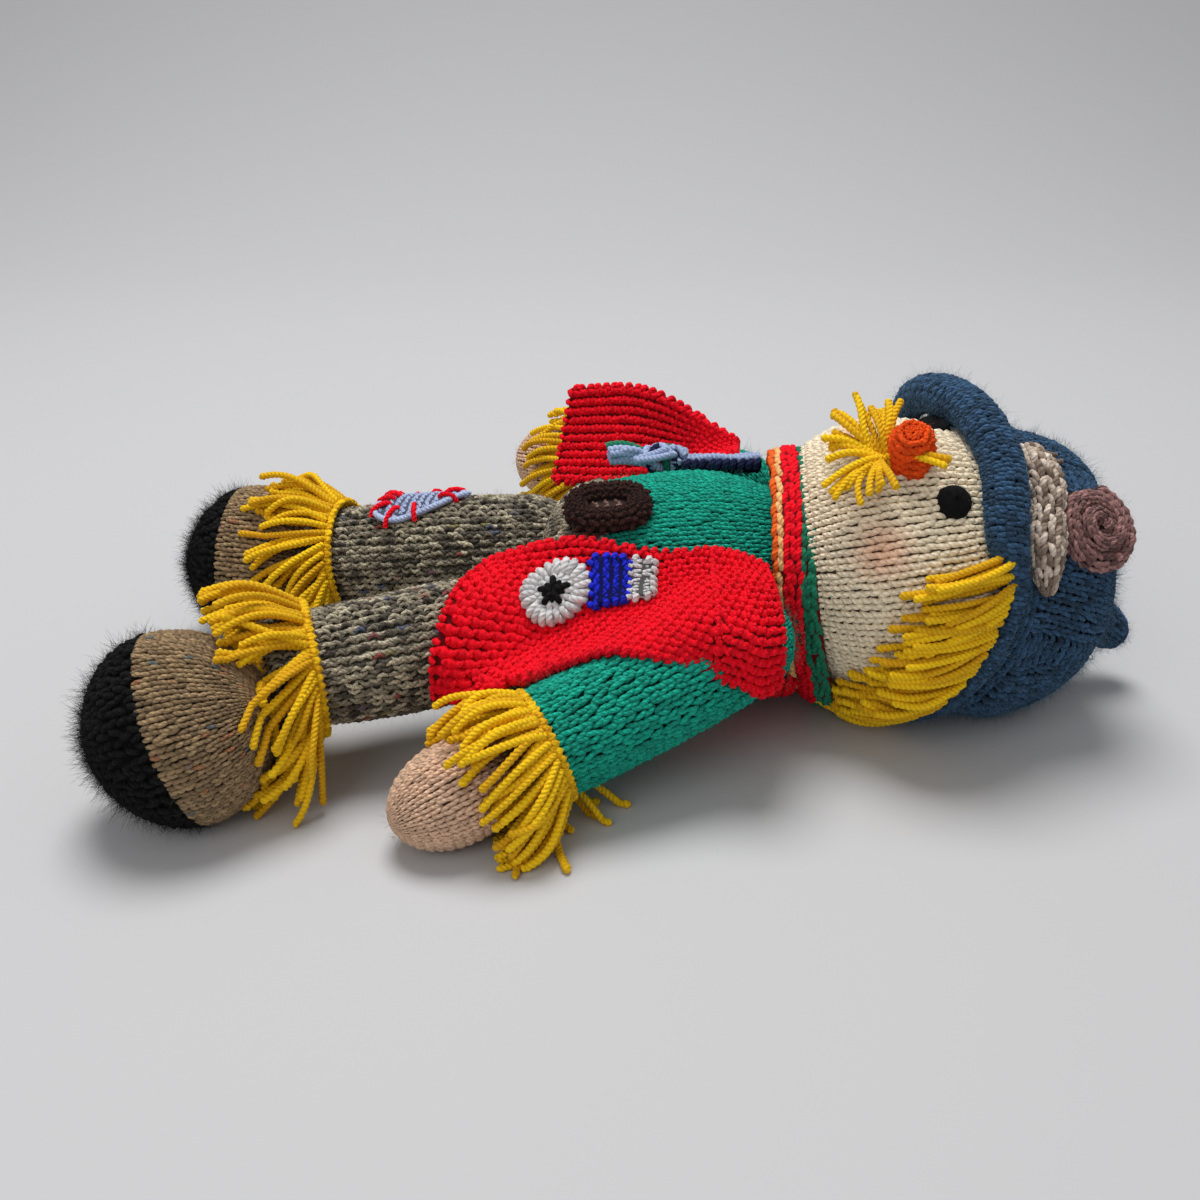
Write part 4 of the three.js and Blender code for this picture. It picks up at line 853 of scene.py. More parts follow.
# Arms
def make_sleeve(side):
    surface = revolve(arm_places[side], limb_stations(SHOULDER_RADIUS, [
        (SLEEVE_RADIUS, SLEEVE_LENGTH * 0.35),
        (SLEEVE_RADIUS - 0.4, SLEEVE_LENGTH * 0.7),
        (SLEEVE_RADIUS - 1.2, SLEEVE_LENGTH * 0.88),
        (WRIST_RADIUS, SLEEVE_LENGTH * 0.99),
    ]))
    piece = Piece()
    piece.skin(surface, 36, 30, 1.4)
    knitting(piece, surface, TURN * SLEEVE_RADIUS, SLEEVE_STITCH, KNIT, thick=0.205, jitter=0.09)
    fibres(piece, surface, 3600, 3.8, radius=0.024)
    piece.build(f"{side}_green_sleeve", f"{side}_arm", ["green"], "green_wool", f"{side}_sleeve", padded=0.9)


def make_hand(side):
    arc = [
        (HAND_RADIUS * math.sin(a), HAND_MIDDLE - HAND_HALF_LENGTH * math.cos(a))
        for a in np.linspace(0.55, math.pi - 0.06, 9)
    ]
    surface = revolve(arm_places[side], arc)
    piece = Piece()
    piece.skin(surface, 30, 22, 1.2)
    knitting(piece, surface, TURN * HAND_RADIUS, HAND_STITCH, ROPE, reach=(0.3, 1.2))
    fibres(piece, surface, 500, 2.2)
    piece.build(f"{side}_knitted_hand", f"{side}_arm", ["skin"], "skin_wool", f"{side}_hand", padded=0.9)


# Head
def head_surface():
    start = math.asin(HEAD_RISE / HEAD_RADIUS)
    arc = [
        (HEAD_RADIUS * math.cos(a), HEAD_RISE + HEAD_RADIUS * math.sin(a))
        for a in np.linspace(-start, 1.15, 14)
    ]
    ball = revolve(head_place, arc, lumps=0.004)
    middle = np.array([0, HEAD_RISE, 0])

    def surface(s, t):
        ray = head_place.into(ball(s, t)) - middle
        length = np.linalg.norm(ray, axis=-1)
        turn = np.degrees(np.arctan2(ray[..., 0], ray[..., 2]))
        rise = np.degrees(np.arcsin(np.clip(ray[..., 1] / length, -1, 1)))
        return head_place.out(middle + ray * (1 - head_flat(turn, rise) / length)[..., None])

    surface.length = ball.length
    return surface


def make_head():
    surface = head_surface()
    piece = Piece()
    piece.skin(surface, 80, 40, 1.4)
    knitting(piece, surface, TURN * HEAD_RADIUS, THICK, ROPE, thick=0.205, reach=(0.45, 0.9), jitter=0.04)
    piece.build("knitted_head", "head", ["cream"], "cream_wool", "head", padded=0.95)


EYES = (("left", 15.8), ("right", -31))  # degrees from the face's middle
EYE_RISE = 19
EYE_SHAPE = ((4.9, 0), (4.8, 1.4), (3.6, 2.8), (1.6, 3.4), (0.2, 3.5))  # radius, and height over the head
NOSE_AT = (-3, 6)
NOSE_SHAPE = ((5.4, 0), (5.7, 2.5), (5.5, 7), (4.7, 11.4), (3.6, 13.2), (0.6, 13.7))
MOUSTACHE_AT = (-3, -3.5)
MOUSTACHE_TUFTS = ((-24, 78, 15), (116, 188, 9), (236, 248, 2))  # first and last degrees, and strands
MOUSTACHE_LENGTH = (14, 19.5)
MOUSTACHE_RISE = (3.5, 10)  # how far the strands' ends stand off the face


def make_eyes():
    for side, turn in EYES:
        place = on_head(turn, EYE_RISE, -1.2)
        surface = revolve(place, EYE_SHAPE, lumps=0.01)
        piece = Piece()
        piece.skin(surface, 28, 12, 0, tone=PLAIN)
        fibres(piece, surface, 700, 0.8, radius=0.03, lift=0)
        piece.build(f"{side}_felt_eye", "head", ["felt"], "black_felt", f"{side}_eye")


def make_nose():
    place = on_head(*NOSE_AT, -1.5)
    surface = revolve(place, NOSE_SHAPE, lumps=0.03)
    piece = Piece()
    piece.skin(surface, 24, 14, 1.1)
    stitches(piece, surface, 11, 7, PURL, lift=-0.5, thick=0.27, reach=(0.4, 1.0))
    fibres(piece, surface, 160, 1.8, radius=0.025)
    piece.build("carrot_nose", "head", ["orange"], "orange_wool", "nose", padded=0.9)


def make_moustache():
    root = on_head(*MOUSTACHE_AT, 0.6)
    piece = Piece()
    for first, last, count in MOUSTACHE_TUFTS:
        fan = np.radians(np.linspace(first, last, count) + rng.normal(0, 3, count))
        reach = between(MOUSTACHE_LENGTH, count)
        rise = between(MOUSTACHE_RISE, count)
        starts = root.out(rng.normal(0, 1.2, (count, 3)) * [1, 0.4, 1] + [0, 1.2, 0])
        ends = root.out(xyz(np.cos(fan) * reach, rise, -np.sin(fan) * reach))
        lifts = np.repeat(root.turn([0, 3.0, 0])[None], count, axis=0)
        straw_strands(piece, starts, ends, lifts, droop=rng.random(count) * 3, radius=1.1)
    piece.build("straw_moustache", "head", ["straw"], "yellow_straw_yarn", "moustache")


# Hat
RIB_EVERY = 13  # stitches
RIB_WIDTH = 3
UNDER_BRIM = 8  # how far the crown's rim runs on behind the full part of the brim
UNDER_BRIM_FADES = 12  # along the hat
BRIM_FULL = ((-78, 9), (36, 5))  # degrees round the hat at which its full part ends, and how softly
BRIM_ROLL = (2.4, 3.2)  # radius of the roll behind, and how much more where it is full
BRIM_DROP = (6.0, 5)  # how far the full part hangs over the face, and how much more on the far side
CROWN_THICKNESS = 3.2
FOLD_WIDTH = 0.35
TIP_SHAPE = ((5.6, -3), (7.0, 7), (6.4, 16), (3.6, 21.4), (0.5, 22.4))  # radius, and place along the tip
TIP_DIRECTION = (0.4, 1, -0.22)


def brim_front(degrees):
    """How full the brim is, by degrees round the hat from its front."""
    (first, first_width), (last, last_width) = BRIM_FULL
    return 1 / (1 + np.exp((degrees - last) / last_width)) / (1 + np.exp((first - degrees) / first_width))


# Degrees round the hat, rise, depth and height of each hollow
HAT_FOLDS = (
    (62, 16, 3.2, 7), (95, 26, 2.6, 6), (120, 12, 2.4, 8),
    (80, 4, 2.0, 4), (-70, 18, 3, 8), (150, 26, 2.5, 8),
)


def sagged(surface):
    """The crown's dent behind the brim, and the sag of its soft end."""
    def lowered(s, t):
        local = hat_place.into(surface(s, t))
        along = local[..., 1]
        radius = np.maximum(np.hypot(local[..., 0], local[..., 2]), 1)
        front = np.maximum(local[..., 2] / radius, 0) ** 2
        depth = HAT_DENT * front * np.exp(-(((along - DENT_ALONG) / DENT_ALONG) ** 2))
        angle = np.arctan2(local[..., 0], local[..., 2])
        for at, where, deep, wide in HAT_FOLDS:
            away = ((angle - math.radians(at)) / FOLD_WIDTH) ** 2 + ((along - where) / wide) ** 2
            depth = depth + deep * np.exp(-away)
        local = local * (1 - xyz(depth, 0, depth) / radius[..., None])
        degrees = np.degrees(np.arctan2(local[..., 0], local[..., 2]))
        local[..., 1] -= UNDER_BRIM * brim_front(degrees) * np.clip(1 - along / UNDER_BRIM_FADES, 0, 1)
        share = np.maximum(along / HAT_LENGTH, 0) ** 2
        return hat_place.out(local + share[..., None] * np.array([HAT_SAG[0], 0, HAT_SAG[1]]))

    return lowered


def crown_surface(shrink=0.0):
    return sagged(revolve(hat_place, [
        (HAT_RADIUS - 1 - shrink, 0),
        (HAT_RADIUS - shrink, HAT_LENGTH * 0.16),
        (HAT_RADIUS * 0.95 - shrink, HAT_LENGTH * 0.38),
        (HAT_RADIUS * 0.83 - shrink, HAT_LENGTH * 0.6),
        (HAT_RADIUS * 0.57 - shrink, HAT_LENGTH * 0.79),
        (HAT_RADIUS * 0.12, HAT_LENGTH * 0.9 - shrink),
    ], lumps=0.012))


def brim_surface():
    """The rolled brim: round the hat with s and round the roll with t. It is full in front, thin behind."""
    def surface(s, t):
        angle = TURN * s
        turn = TURN * t
        degrees = np.degrees(np.arctan2(np.sin(angle), np.cos(angle)))
        front = brim_front(degrees)
        roll = BRIM_ROLL[0] + BRIM_ROLL[1] * front
        out = HAT_RADIUS - 1.5 + roll * 0.4
        drop = -roll - 0.35 - (BRIM_DROP[0] + BRIM_DROP[1] * np.maximum(-np.sin(angle), 0)) * front
        radius = out - roll * np.cos(turn)
        return hat_place.out(round_axis(radius, angle, drop + roll * np.sin(turn)))

    return surface


# The hat's yarn, and a lighter copy of it for its loose fibres that paints the light they catch.
HAT_LOOKS = ("denim", "fuzz_highlight")


def make_crown():
    surface = crown_surface()
    piece = Piece()
    piece.skin(surface, 80, 26, 1.6)
    # The crown's inside takes the gap tone too: painted shade.
    piece.skin(crown_surface(CROWN_THICKNESS), 60, 20, 0, side=-1)
    columns, rows = round(TURN * HAT_RADIUS / HAT_STITCH[0]), round(1.5 * HAT_LENGTH / HAT_STITCH[1])
    rib = lambda i, j: (i % RIB_EVERY < RIB_WIDTH) | (j < RIB_WIDTH)
    flat = lambda i, j: ~rib(i, j)
    for kind, where, lift, thick in ((KNIT, flat, -0.6, 0.2), (PURL, rib, -1.0, 0.22)):
        stitches(piece, surface, columns, rows, kind, where,
                 lift=lift, reach=(0.3, 1.0), thick=thick, jitter=0.07)
    fibres(piece, surface, 16000, 3.6, radius=0.026, lift=0.3, look=1)
    piece.build("blue_crown", "head", HAT_LOOKS, "blue_mohair", "hat_crown")


def make_brim():
    surface = brim_surface()
    piece = Piece()
    piece.skin(surface, 120, 24, side=-1)
    stitches(piece, surface, 120, 13, ROPE, side=-1, lift=-0.5, reach=(0.25, 0.9), thick=0.26, jitter=0.08)
    fibres(piece, surface, 11000, 3.4, side=-1, radius=0.026, lift=0.0, look=1)
    piece.build("blue_brim", "head", HAT_LOOKS, "blue_mohair", "hat_brim", padded=0.7)


def make_tip():
    at = (HAT_SAG[0] * 0.9, HAT_LENGTH * 0.9 + 1, HAT_SAG[1])
    surface = revolve(hat_place.place(at, TIP_DIRECTION, (0, 0, 1)), TIP_SHAPE, lumps=0.02)
    piece = Piece()
    piece.skin(surface, 26, 14, 1.1)
    stitches(piece, surface, 12, 9, KNIT, lift=-0.7, reach=(0.3, 1.0), thick=0.21)
    fibres(piece, surface, 1200, 2.8, lift=0.2, look=1)
    piece.build("blue_tip", "head", HAT_LOOKS, "blue_mohair", "hat_tip", padded=0.7)


HAIR_ROOT = -6.5  # along the hat's axis
# Sign, first degrees round the hat, and how far the hair is sunk
HAIR_SIDES = (("left", 1, 31, 0), ("right", -1, 74, 3.5))
HAIR_LAST = 158
HAIR_LENGTH = (20, 28)
HAIR_LEAN = 15  # degrees towards the back of the head
HAIR_LAYERS = (52, 52, 46)  # strands


def make_hair():
    for side, sign, first, sunk in HAIR_SIDES:
        head = outside(head_place, (HEAD_RADIUS - sunk,) * 3, (0, HEAD_RISE, 0))
        piece = Piece()
        for layer, count in enumerate(HAIR_LAYERS):
            angle = np.radians(np.linspace(first, HAIR_LAST, count) + rng.normal(0, 1.5, count)) * sign
            lean = angle + np.radians(HAIR_LEAN + rng.normal(0, 4.5, count)) * sign
            reach = between(HAIR_LENGTH, count) - 1.5 * layer - 2 * sunk
            root = HAT_RADIUS + 0.4 + 0.8 * layer
            behind = np.sqrt(np.maximum(HEAD_RADIUS**2 - (RIM_RISE + HAIR_ROOT - reach) ** 2, 100))
            out = behind - sunk + 1.5 + 2.6 * rng.random(count) + 1.4 * layer
            starts = hat_place.out(round_axis(root, angle, HAIR_ROOT))
            ends = hat_place.out(round_axis(out, lean, HAIR_ROOT - reach))
            lifts = hat_place.turn(round_axis(1, angle, 0)) * (2.0 + layer)
            straw_strands(piece, starts, ends, lifts, droop=rng.random(count) * 1.5, clear=head)
        piece.build(f"{side}_straw_hair", "head", ["straw"], "yellow_straw_yarn", f"{side}_hair")


# Loose cloth
UNDER_CLOTH = DRAPE_GAP + CLOTH / 2
WEB = 1.0  # thickness of the cloth between the stitches of its two sides
CLOTH_STITCH = 3.1
CLOTH_ROW = 2.7
CLOTH_KNITTING = {"thick": 0.36, "lift": -0.45, "reach": (0.6, 1.5), "jitter": 0.05, "fill": 0.43}
LEFT_HEM = ((-32, -10), (-39, -25), (-44, -40))
LEFT_OPENING = ((-32, -10), (-11, -17), (10, -20.5), (31, -20))
LEFT_EDGE = ((-44, -40), (-14, -48), (9, -49), (31, -46))
SHOULDER_OPENING = ((31, -20), (38, -22), (45, -24.5))
SHOULDER_EDGE = ((31, -46), (40, -49), (47, -44))
# Two places given for each cloth that lies over two bodies, which the cloth's build does not use
CHEST_BLEND = ((31, -25, 60), (23, -25, 60))
SHOULDER_BLEND = ((42, -44, 50), (42, -52, 34))
# x, and how far the cloth hangs past its edge
HANG = ((-44, 17), (-33, 8), (-24, 1), (0, 0), (9, 3), (20, 7.5), (31, 17.5), (38, 17), (43, 20), (47, 20))
HANG_BEND = 9.0  # radius of the bend over the arm
RIGHT_HEM = ((-15, 46, 54.5), (-9, 61, 81))
RIGHT_SEAM_TO = 24
RIGHT_NECK_END = ((42, 32.2, 69), (43, 41.5, 70.5))
RIGHT_OPENING_AT = (16, 56, 82)
BACK_RADIUS = TORSO_RADIUS + UNDER_CLOTH
BACK_LENGTH = 46
BACK_START = 6
BACK_EDGES = (-186, -12)  # degrees round the torso


def tent(start, end, start_radius, end_radius):
    """The height of cloth over a round limb, from which it falls away at an even slope."""
    start, end = np.array(start, float), np.array(end, float)
    run = (end - start)[:2]
    stretch = np.linalg.norm(end - start) / np.linalg.norm(run)
    slope = math.radians(CLOTH_SLOPE)

    def height(x, y):
        share = np.clip(((x - start[0]) * run[0] + (y - start[1]) * run[1]) / (run @ run), 0, 1)
        centre = start + share[..., None] * (end - start)
        radius = start_radius + (end_radius - start_radius) * share + UNDER_CLOTH
        aside = np.hypot(x - centre[..., 0], y - centre[..., 1])
        over = np.sqrt(np.maximum(radius**2 - aside**2, 0))
        flat = radius * math.sin(slope)
        beside = radius * math.cos(slope) - (aside - flat) * math.tan(slope)
        return centre[..., 2] + stretch * np.where(aside < flat, over, beside)

    return height


def over_shoulder(x, y):
    at = SHOULDER_AT["left"]
    out = np.hypot(x - at[0], y - at[1])
    roof = at[2] + SLEEVE_RADIUS + UNDER_CLOTH + ARM_DIRECTION["left"][2] * out
    return roof - 0.12 * np.maximum(out - SHOULDER_COVER * 0.7, 0) ** 2


torso_tent = tent(WAIST_AT, NECK_AT, TORSO_RADIUS + TORSO_SWELL, CHEST_RADIUS)
FRONT_SUPPORTS = (
    torso_tent,
    tent(leg_places["left"].out([0, LEG_LENGTH, 0]), HIP_AT["left"], THIGH_RADIUS, THIGH_RADIUS),
    tent(arm_places["left"].out([0, SLEEVE_LENGTH, 0]), SHOULDER_AT["left"], SLEEVE_RADIUS, SLEEVE_RADIUS),
    over_shoulder,
)


def resting_height(x, y):
    """Cloth rests on the highest of what lies under it, and passes softly from one to the next."""
    heights = np.stack([support(x, y) for support in FRONT_SUPPORTS])
    return CLOTH_BLEND * np.log(np.exp(heights / CLOTH_BLEND).sum(axis=0))


def front_height(x, y):
    """The cloth spans the hollow between the body and the arm."""
    spans = [(resting_height(x, y - reach) + resting_height(x, y + reach)) / 2 for reach in SPANS]
    return np.max(spans, axis=0)


def curve(points):
    """A smooth curve by its share from the first point to the last, straight past its ends."""
    dense = smooth(points, 16)
    last = len(dense) - 1

    def at(u):
        inside = np.clip(u, 0, 1)
        found = [np.interp(inside * last, np.arange(last + 1), column) for column in dense.T]
        found = np.stack(found, axis=-1)
        ends = np.where((u > 1)[..., None], dense[-1] - dense[-2], dense[1] - dense[0]) * last
        return found + (u - inside)[..., None] * ends

    return at


def front_surface(opening, edge, hem=None):
    """The cloth of the left side: its opening at t=0, and at t=1 the edge that hangs over the arm."""
    inner, outer = curve(opening), curve(edge)
    bow = hem[1][0] - (hem[0][0] + hem[2][0]) / 2 if hem else 0
    hang_x, hang_by = zip(*HANG)

    def surface(s, t):
        a, b = inner(s), outer(s)
        width = np.linalg.norm(b - a, axis=-1) * 1.15
        hang = np.interp(b[..., 0], hang_x, hang_by)
        across = t * (1 + hang / width)
        v = np.minimum(across, 1)
        at = a * (1 - v[..., None]) + b * v[..., None]
        x = at[..., 0] + bow * 4 * v * (1 - v) * (1 - np.clip(s, 0, 1))
        y = at[..., 1]
        z = front_height(x, y)
        out = unit(b - a)
        fall = z - front_height(x + out[..., 0], y + out[..., 1])
        first = np.arctan(np.clip(fall, 0.1, 1.2))
        past = np.maximum(across - 1, 0) * width
        bent = np.minimum(past / HANG_BEND, math.radians(88) - first)
        turned = first + bent
        straight = past - bent * HANG_BEND
        ahead = HANG_BEND * (np.sin(turned) - np.sin(first)) + straight * np.cos(turned)
        down = HANG_BEND * (np.cos(first) - np.cos(turned)) + straight * np.sin(turned)
        return xyz(x + out[..., 0] * ahead, y + out[..., 1] * ahead, z - down)

    return surface


def right_surface(s, t):
    """The right front, which stands out from its seam at t=0 to its free edge at t=1."""
    angle = math.radians(BACK_EDGES[0])
    x, z = BACK_RADIUS * math.cos(angle), BACK_RADIUS * math.sin(angle) + 1.8
    seam = [torso_place.out([x, y, z]) for y in (BACK_START, RIGHT_SEAM_TO)]
    lower = curve([RIGHT_HEM[0], *seam, RIGHT_NECK_END[0]])
    upper = curve([RIGHT_HEM[1], RIGHT_OPENING_AT, RIGHT_NECK_END[1]])
    t = t[..., None]
    belly = np.sin(np.clip(t, 0, 1) * math.pi) * np.array([0, 1.5, -1.5])
    return lower(s) * (1 - t) + upper(s) * t + belly


def back_surface(s, t):
    angle = np.radians(BACK_EDGES[0] + (BACK_EDGES[1] - BACK_EDGES[0]) * s)
    along = BACK_START + BACK_LENGTH * t
    return torso_place.out(xyz(BACK_RADIUS * np.cos(angle), along, BACK_RADIUS * np.sin(angle)))


# Degrees that an arm swings to the body
ARM_SWINGS = (("left", 0), ("right", 0), ("right", 8), ("right", 15))
ARMHOLE_GAP = 1.8


def clear_of_arms(points):
    """Which points lie outside the armholes, which leave room for the arms' swing."""
    clear = np.ones(points.shape[:-1], bool)
    for side, degrees in ARM_SWINGS:
        turn = math.radians(degrees)
        x, y, z = ARM_DIRECTION[side]
        swung = (x * math.cos(turn) - y * math.sin(turn), x * math.sin(turn) + y * math.cos(turn), z)
        place = Place(SHOULDER_AT[side], swung)
        local = place.into(points)
        past = local[..., 1] - np.clip(local[..., 1], 0, SLEEVE_LENGTH)
        clear &= np.sqrt(local[..., 0] ** 2 + local[..., 2] ** 2 + past**2) > SLEEVE_RADIUS + ARMHOLE_GAP
    return clear


# The four edges of a cell of cloth: the step to the next cell, and the two corners between them
CELL_EDGES = (
    ((-1, 0), (0, 1), (0, 0)), ((1, 0), (1, 0), (1, 1)),
    ((0, -1), (0, 0), (1, 0)), ((0, 1), (1, 1), (0, 1)),
)


def slab(piece, surface, columns, rows, thickness=WEB, look=0, around=False, kept=None):
    """A thin closed sheet on a surface, on all of its cells or on those kept. It takes the gap tone, which
    its look darkens as painted shade.
    """
    s = np.linspace(0, 1, columns + 1)[: columns if around else columns + 1]
    t = np.linspace(0, 1, rows + 1)
    grid_s, grid_t = np.meshgrid(s, t, indexing="ij")
    middle = surface(grid_s, grid_t)
    out = normals(surface, grid_s, grid_t)
    wide = len(s)
    points = np.stack([middle + out * half for half in (thickness / 2, -thickness / 2)]).reshape(-1, 3)
    i, j = np.meshgrid(np.arange(columns), np.arange(rows), indexing="ij")
    mask = np.ones(i.shape, bool) if kept is None else kept((i + 0.5) / columns, (j + 0.5) / rows)
    i, j = i[mask], j[mask]
    index = lambda layer, a, b: layer * wide * (rows + 1) + (a % wide) * (rows + 1) + b
    corners = ((i, j), (i + 1, j), (i + 1, j + 1), (i, j + 1))
    faces = [
        np.stack([index(0, *corner) for corner in corners], axis=-1),
        np.stack([index(1, *corner) for corner in corners[::-1]], axis=-1),
    ]
    beyond = np.pad(mask, 1, mode="wrap" if around else "constant")
    if around:
        beyond[:, [0, -1]] = False
    for (step_i, step_j), first, second in CELL_EDGES:
        open_edge = ~beyond[i + 1 + step_i, j + 1 + step_j]
        a, b = i[open_edge], j[open_edge]
        wall = [
            index(layer, a + corner[0], b + corner[1])
            for layer, corner in ((0, second), (0, first), (1, first), (1, second))
        ]
        faces.append(np.stack(wall, axis=-1))
    used, renamed = np.unique(np.concatenate(faces), return_inverse=True)
    piece.add(points[used], renamed.reshape(-1, 4), GAP_SHADED_TONE, look)


def edging(piece, surface, count, axis, end, thick=0.95):
    """Loops of yarn round one edge of a cloth: at s or t, of 0 or 1."""
    run = (np.arange(count) + 0.5) / count + rng.normal(0, 0.12 / count, count)
    fixed = np.full(count, float(end))
    s, t = (fixed, run) if axis == "s" else (run, fixed)
    inside = 1 - 2 * end
    near = surface(s, t)
    far = surface(s + 0.01 * inside, t) if axis == "s" else surface(s, t + 0.01 * inside)
    away = unit(near - far)
    out = normals(surface, s, t)
    turns = np.radians([-10, 35, 90, 145, 190])
    lean = unit(np.cross(away, out)) * thick * 0.8
    path = []
    for k, a in enumerate(turns):
        aside = away * (thick * math.sin(a) - 0.4)
        path.append(near + out * 1.25 * thick * math.cos(a) + aside + lean * (k / 2 - 1))
    centres = np.stack(path, axis=1)
    hints = unit(centres - near[:, None] + 0.01)
    piece.tubes(centres, hints, thick * np.array([0.8, 1, 1.1, 1, 0.8]))


def edge_loops(piece, surface, thick=0.95, **counts):
    """Loops of yarn round all four edges of a cloth, so many for each edge of a share s or t."""
    for axis, count in counts.items():
        for end in (0, 1):
            edging(piece, surface, count, axis, end, thick)


def lay(web, yarn, name, body, looks, slot, node):
    """Builds a cloth of a web and its stitches."""
    web_piece = web.build(name, body, looks, slot, node)
    yarn_piece = yarn.build(f"{name}_stitches", body, looks, slot)


def cloth(name, surface, size, ride, node, kept=None):
    """A red knitted cloth: a thin web, with rows of stitches on both sides."""
    columns, rows = round(size[0] / CLOTH_STITCH), round(size[1] / CLOTH_ROW)
    web = Piece()
    slab(web, surface, columns * 2, rows * 2, kept=kept)
    yarn = Piece()
    for side, half in ((1, 0), (1, 1), (-1, 0), (-1, 1)):
        shifted = lambda s, t: surface(s + 0.5 * half / columns, t)

        def where(i, j):
            fits = (j % 2 == half) & (i < columns - half)
            if kept is not None:
                fits &= kept((i + 0.5 + 0.5 * half) / columns, (j + 0.5) / rows)
            return fits

        stitches(yarn, shifted, columns, rows, BEAD, where, side=side, **CLOTH_KNITTING)
    edge_loops(yarn, surface, t=columns, s=rows)
    lay(web, yarn, name, ride, ["red"], "red_wool", node)


def blended(body, other, start, end):
    """What bakes a piece's place into its mesh, and joins it to no body. The two bodies and places it is
    given are not used.
    """
    return lambda piece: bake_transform(piece)


def make_left_cloth():
    """The left front, and the strip over the left shoulder."""
    front = front_surface(LEFT_OPENING, LEFT_EDGE, LEFT_HEM)
    over_chest = blended("body", "left_front", *CHEST_BLEND)
    cloth("red_left_front", front, (67, 54), over_chest, "waistcoat_left_front")

    shoulder = front_surface(SHOULDER_OPENING, SHOULDER_EDGE)
    over_arm = blended("body", "left_arm", *SHOULDER_BLEND)
    cloth("red_left_shoulder", shoulder, (22, 48), over_arm, "waistcoat_left_shoulder")


def make_right_front():
    under, node = ["green_torso"], "waistcoat_right_front"
    cloth("red_right_front", right_surface, (62, 30), "right_front", node)


def make_back():
    size, under = (112, BACK_LENGTH), ["green_torso"]
    kept = lambda s, t: clear_of_arms(back_surface(s, t))
    cloth("red_back", back_surface, size, "body", "waistcoat_back", kept=kept)


# Medal
MEDAL_AT = (-12, -27)
MEDAL_DEPTH_SHARE = 0.6
MEDAL_RADIUS = 9.6
MEDAL_PAD = ((0.3, 2.0), (5, 2.2), (8.6, 2.4), (MEDAL_RADIUS, 1.2), (8.8, 0.3))  # radius, and height
RIBBON_LENGTH = 10
RIBBON_GAP = 0.35
RIBBON_WIDTH = 15
BAR_LENGTH = 6.5
ON_CLOTH = 1.45  # how far the cloth's own stitches stand over its middle


def on_front(x, y, lift):
    """Points that stand over the left front by lift."""
    step = 0.2
    slope_x = (front_height(x + step, y) - front_height(x - step, y)) / (2 * step)
    slope_y = (front_height(x, y + step) - front_height(x, y - step)) / (2 * step)
    out = unit(xyz(-slope_x, -slope_y, 1))
    return xyz(x, y, front_height(x, y)) + out * np.asarray(lift)[..., None]


def on_disc(radius, angle, lift):
    x = MEDAL_AT[0] + radius * np.cos(angle)
    y = MEDAL_AT[1] + radius * np.sin(angle) * MEDAL_DEPTH_SHARE
    return on_front(x, y, lift)


def spokes(piece, count, path, thick, turn=0.0, lean=0.1):
    """Strands that run outwards on the medal, from [radius, lift] points."""
    angle = (np.arange(count) + turn + rng.normal(0, 0.06, count)) / count * TURN
    radius, lift = smooth(path, 3).T
    grid = angle[:, None] + np.linspace(-lean, lean, len(radius))
    centres = on_disc(radius, grid, lift)
    above = on_disc(radius, grid, lift + 1)
    taper = np.ones(len(radius))
    taper[[0, -1]] = 0.75
    piece.tubes(centres, unit(above - centres), thick * taper, sides=7)


def make_disc():
    profile = Line(smooth(MEDAL_PAD, 6))

    def pad(s, t):
        radius, lift = np.moveaxis(profile.at(t), -1, 0)
        return on_disc(radius, TURN * s, lift + ON_CLOTH - 0.9)

    piece = Piece()
    # The pad under the cords takes a darker tone of the grey: a little painted shade between them.
    piece.skin(pad, 40, 12, 0, tone=0.2)
    spokes(piece, 22, ((5.4, 2.4), (6.4, 3.5), (8.2, 3.6), (9.3, 2.6), (9.1, 1.0)), 1.05)
    spokes(piece, 15, ((2.0, 2.4), (3.0, 3.4), (4.6, 3.4), (5.8, 2.5)), 0.95, turn=0.5)
    piece.build("medal_cord_disc", "left_front", ["grey"], "medal_wool", "medal_disc")


def make_star():
    star = Piece()
    spokes(star, 5, ((0.1, 3.9), (1.2, 4.6), (3.0, 4.5), (4.5, 3.6)), 0.95, turn=0.2, lean=0.03)
    spokes(star, 5, ((0.1, 3.8), (1.0, 4.3), (2.4, 4.2), (3.1, 3.6)), 0.85, turn=0.7, lean=0.05)
    star.build("medal_stitched_star", "left_front", ["felt"], "black_felt", "medal_star")


def make_ribbons():
    """The blue ribbon beside the medal, and the grey bar at its end."""
    ribbon_from = MEDAL_AT[0] + MEDAL_RADIUS + RIBBON_GAP
    bar_from = ribbon_from + RIBBON_LENGTH + RIBBON_GAP
    width = RIBBON_WIDTH * MEDAL_DEPTH_SHARE

    for name, start, length, template, rows, look, slot, node in (
        ("medal_blue_ribbon", ribbon_from, RIBBON_LENGTH, PURL, 4, "ribbon", "ribbon_wool", "medal_ribbon"),
        ("medal_grey_bar", bar_from, BAR_LENGTH, KNIT, 2, "grey", "medal_wool", "medal_bar"),
    ):
        strip = lambda s, t: on_front(start + length * t, MEDAL_AT[1] + width * (0.5 - s), ON_CLOTH + 0.9)
        piece = Piece()
        slab(piece, strip, 10, 8, thickness=1.8)
        stitches(piece, strip, 5, rows, template, lift=0.2, reach=(0.5, 1.0))
        edge_loops(piece, strip, thick=0.9, s=rows, t=5)
        piece.build(name, "left_front", [look], slot, node)


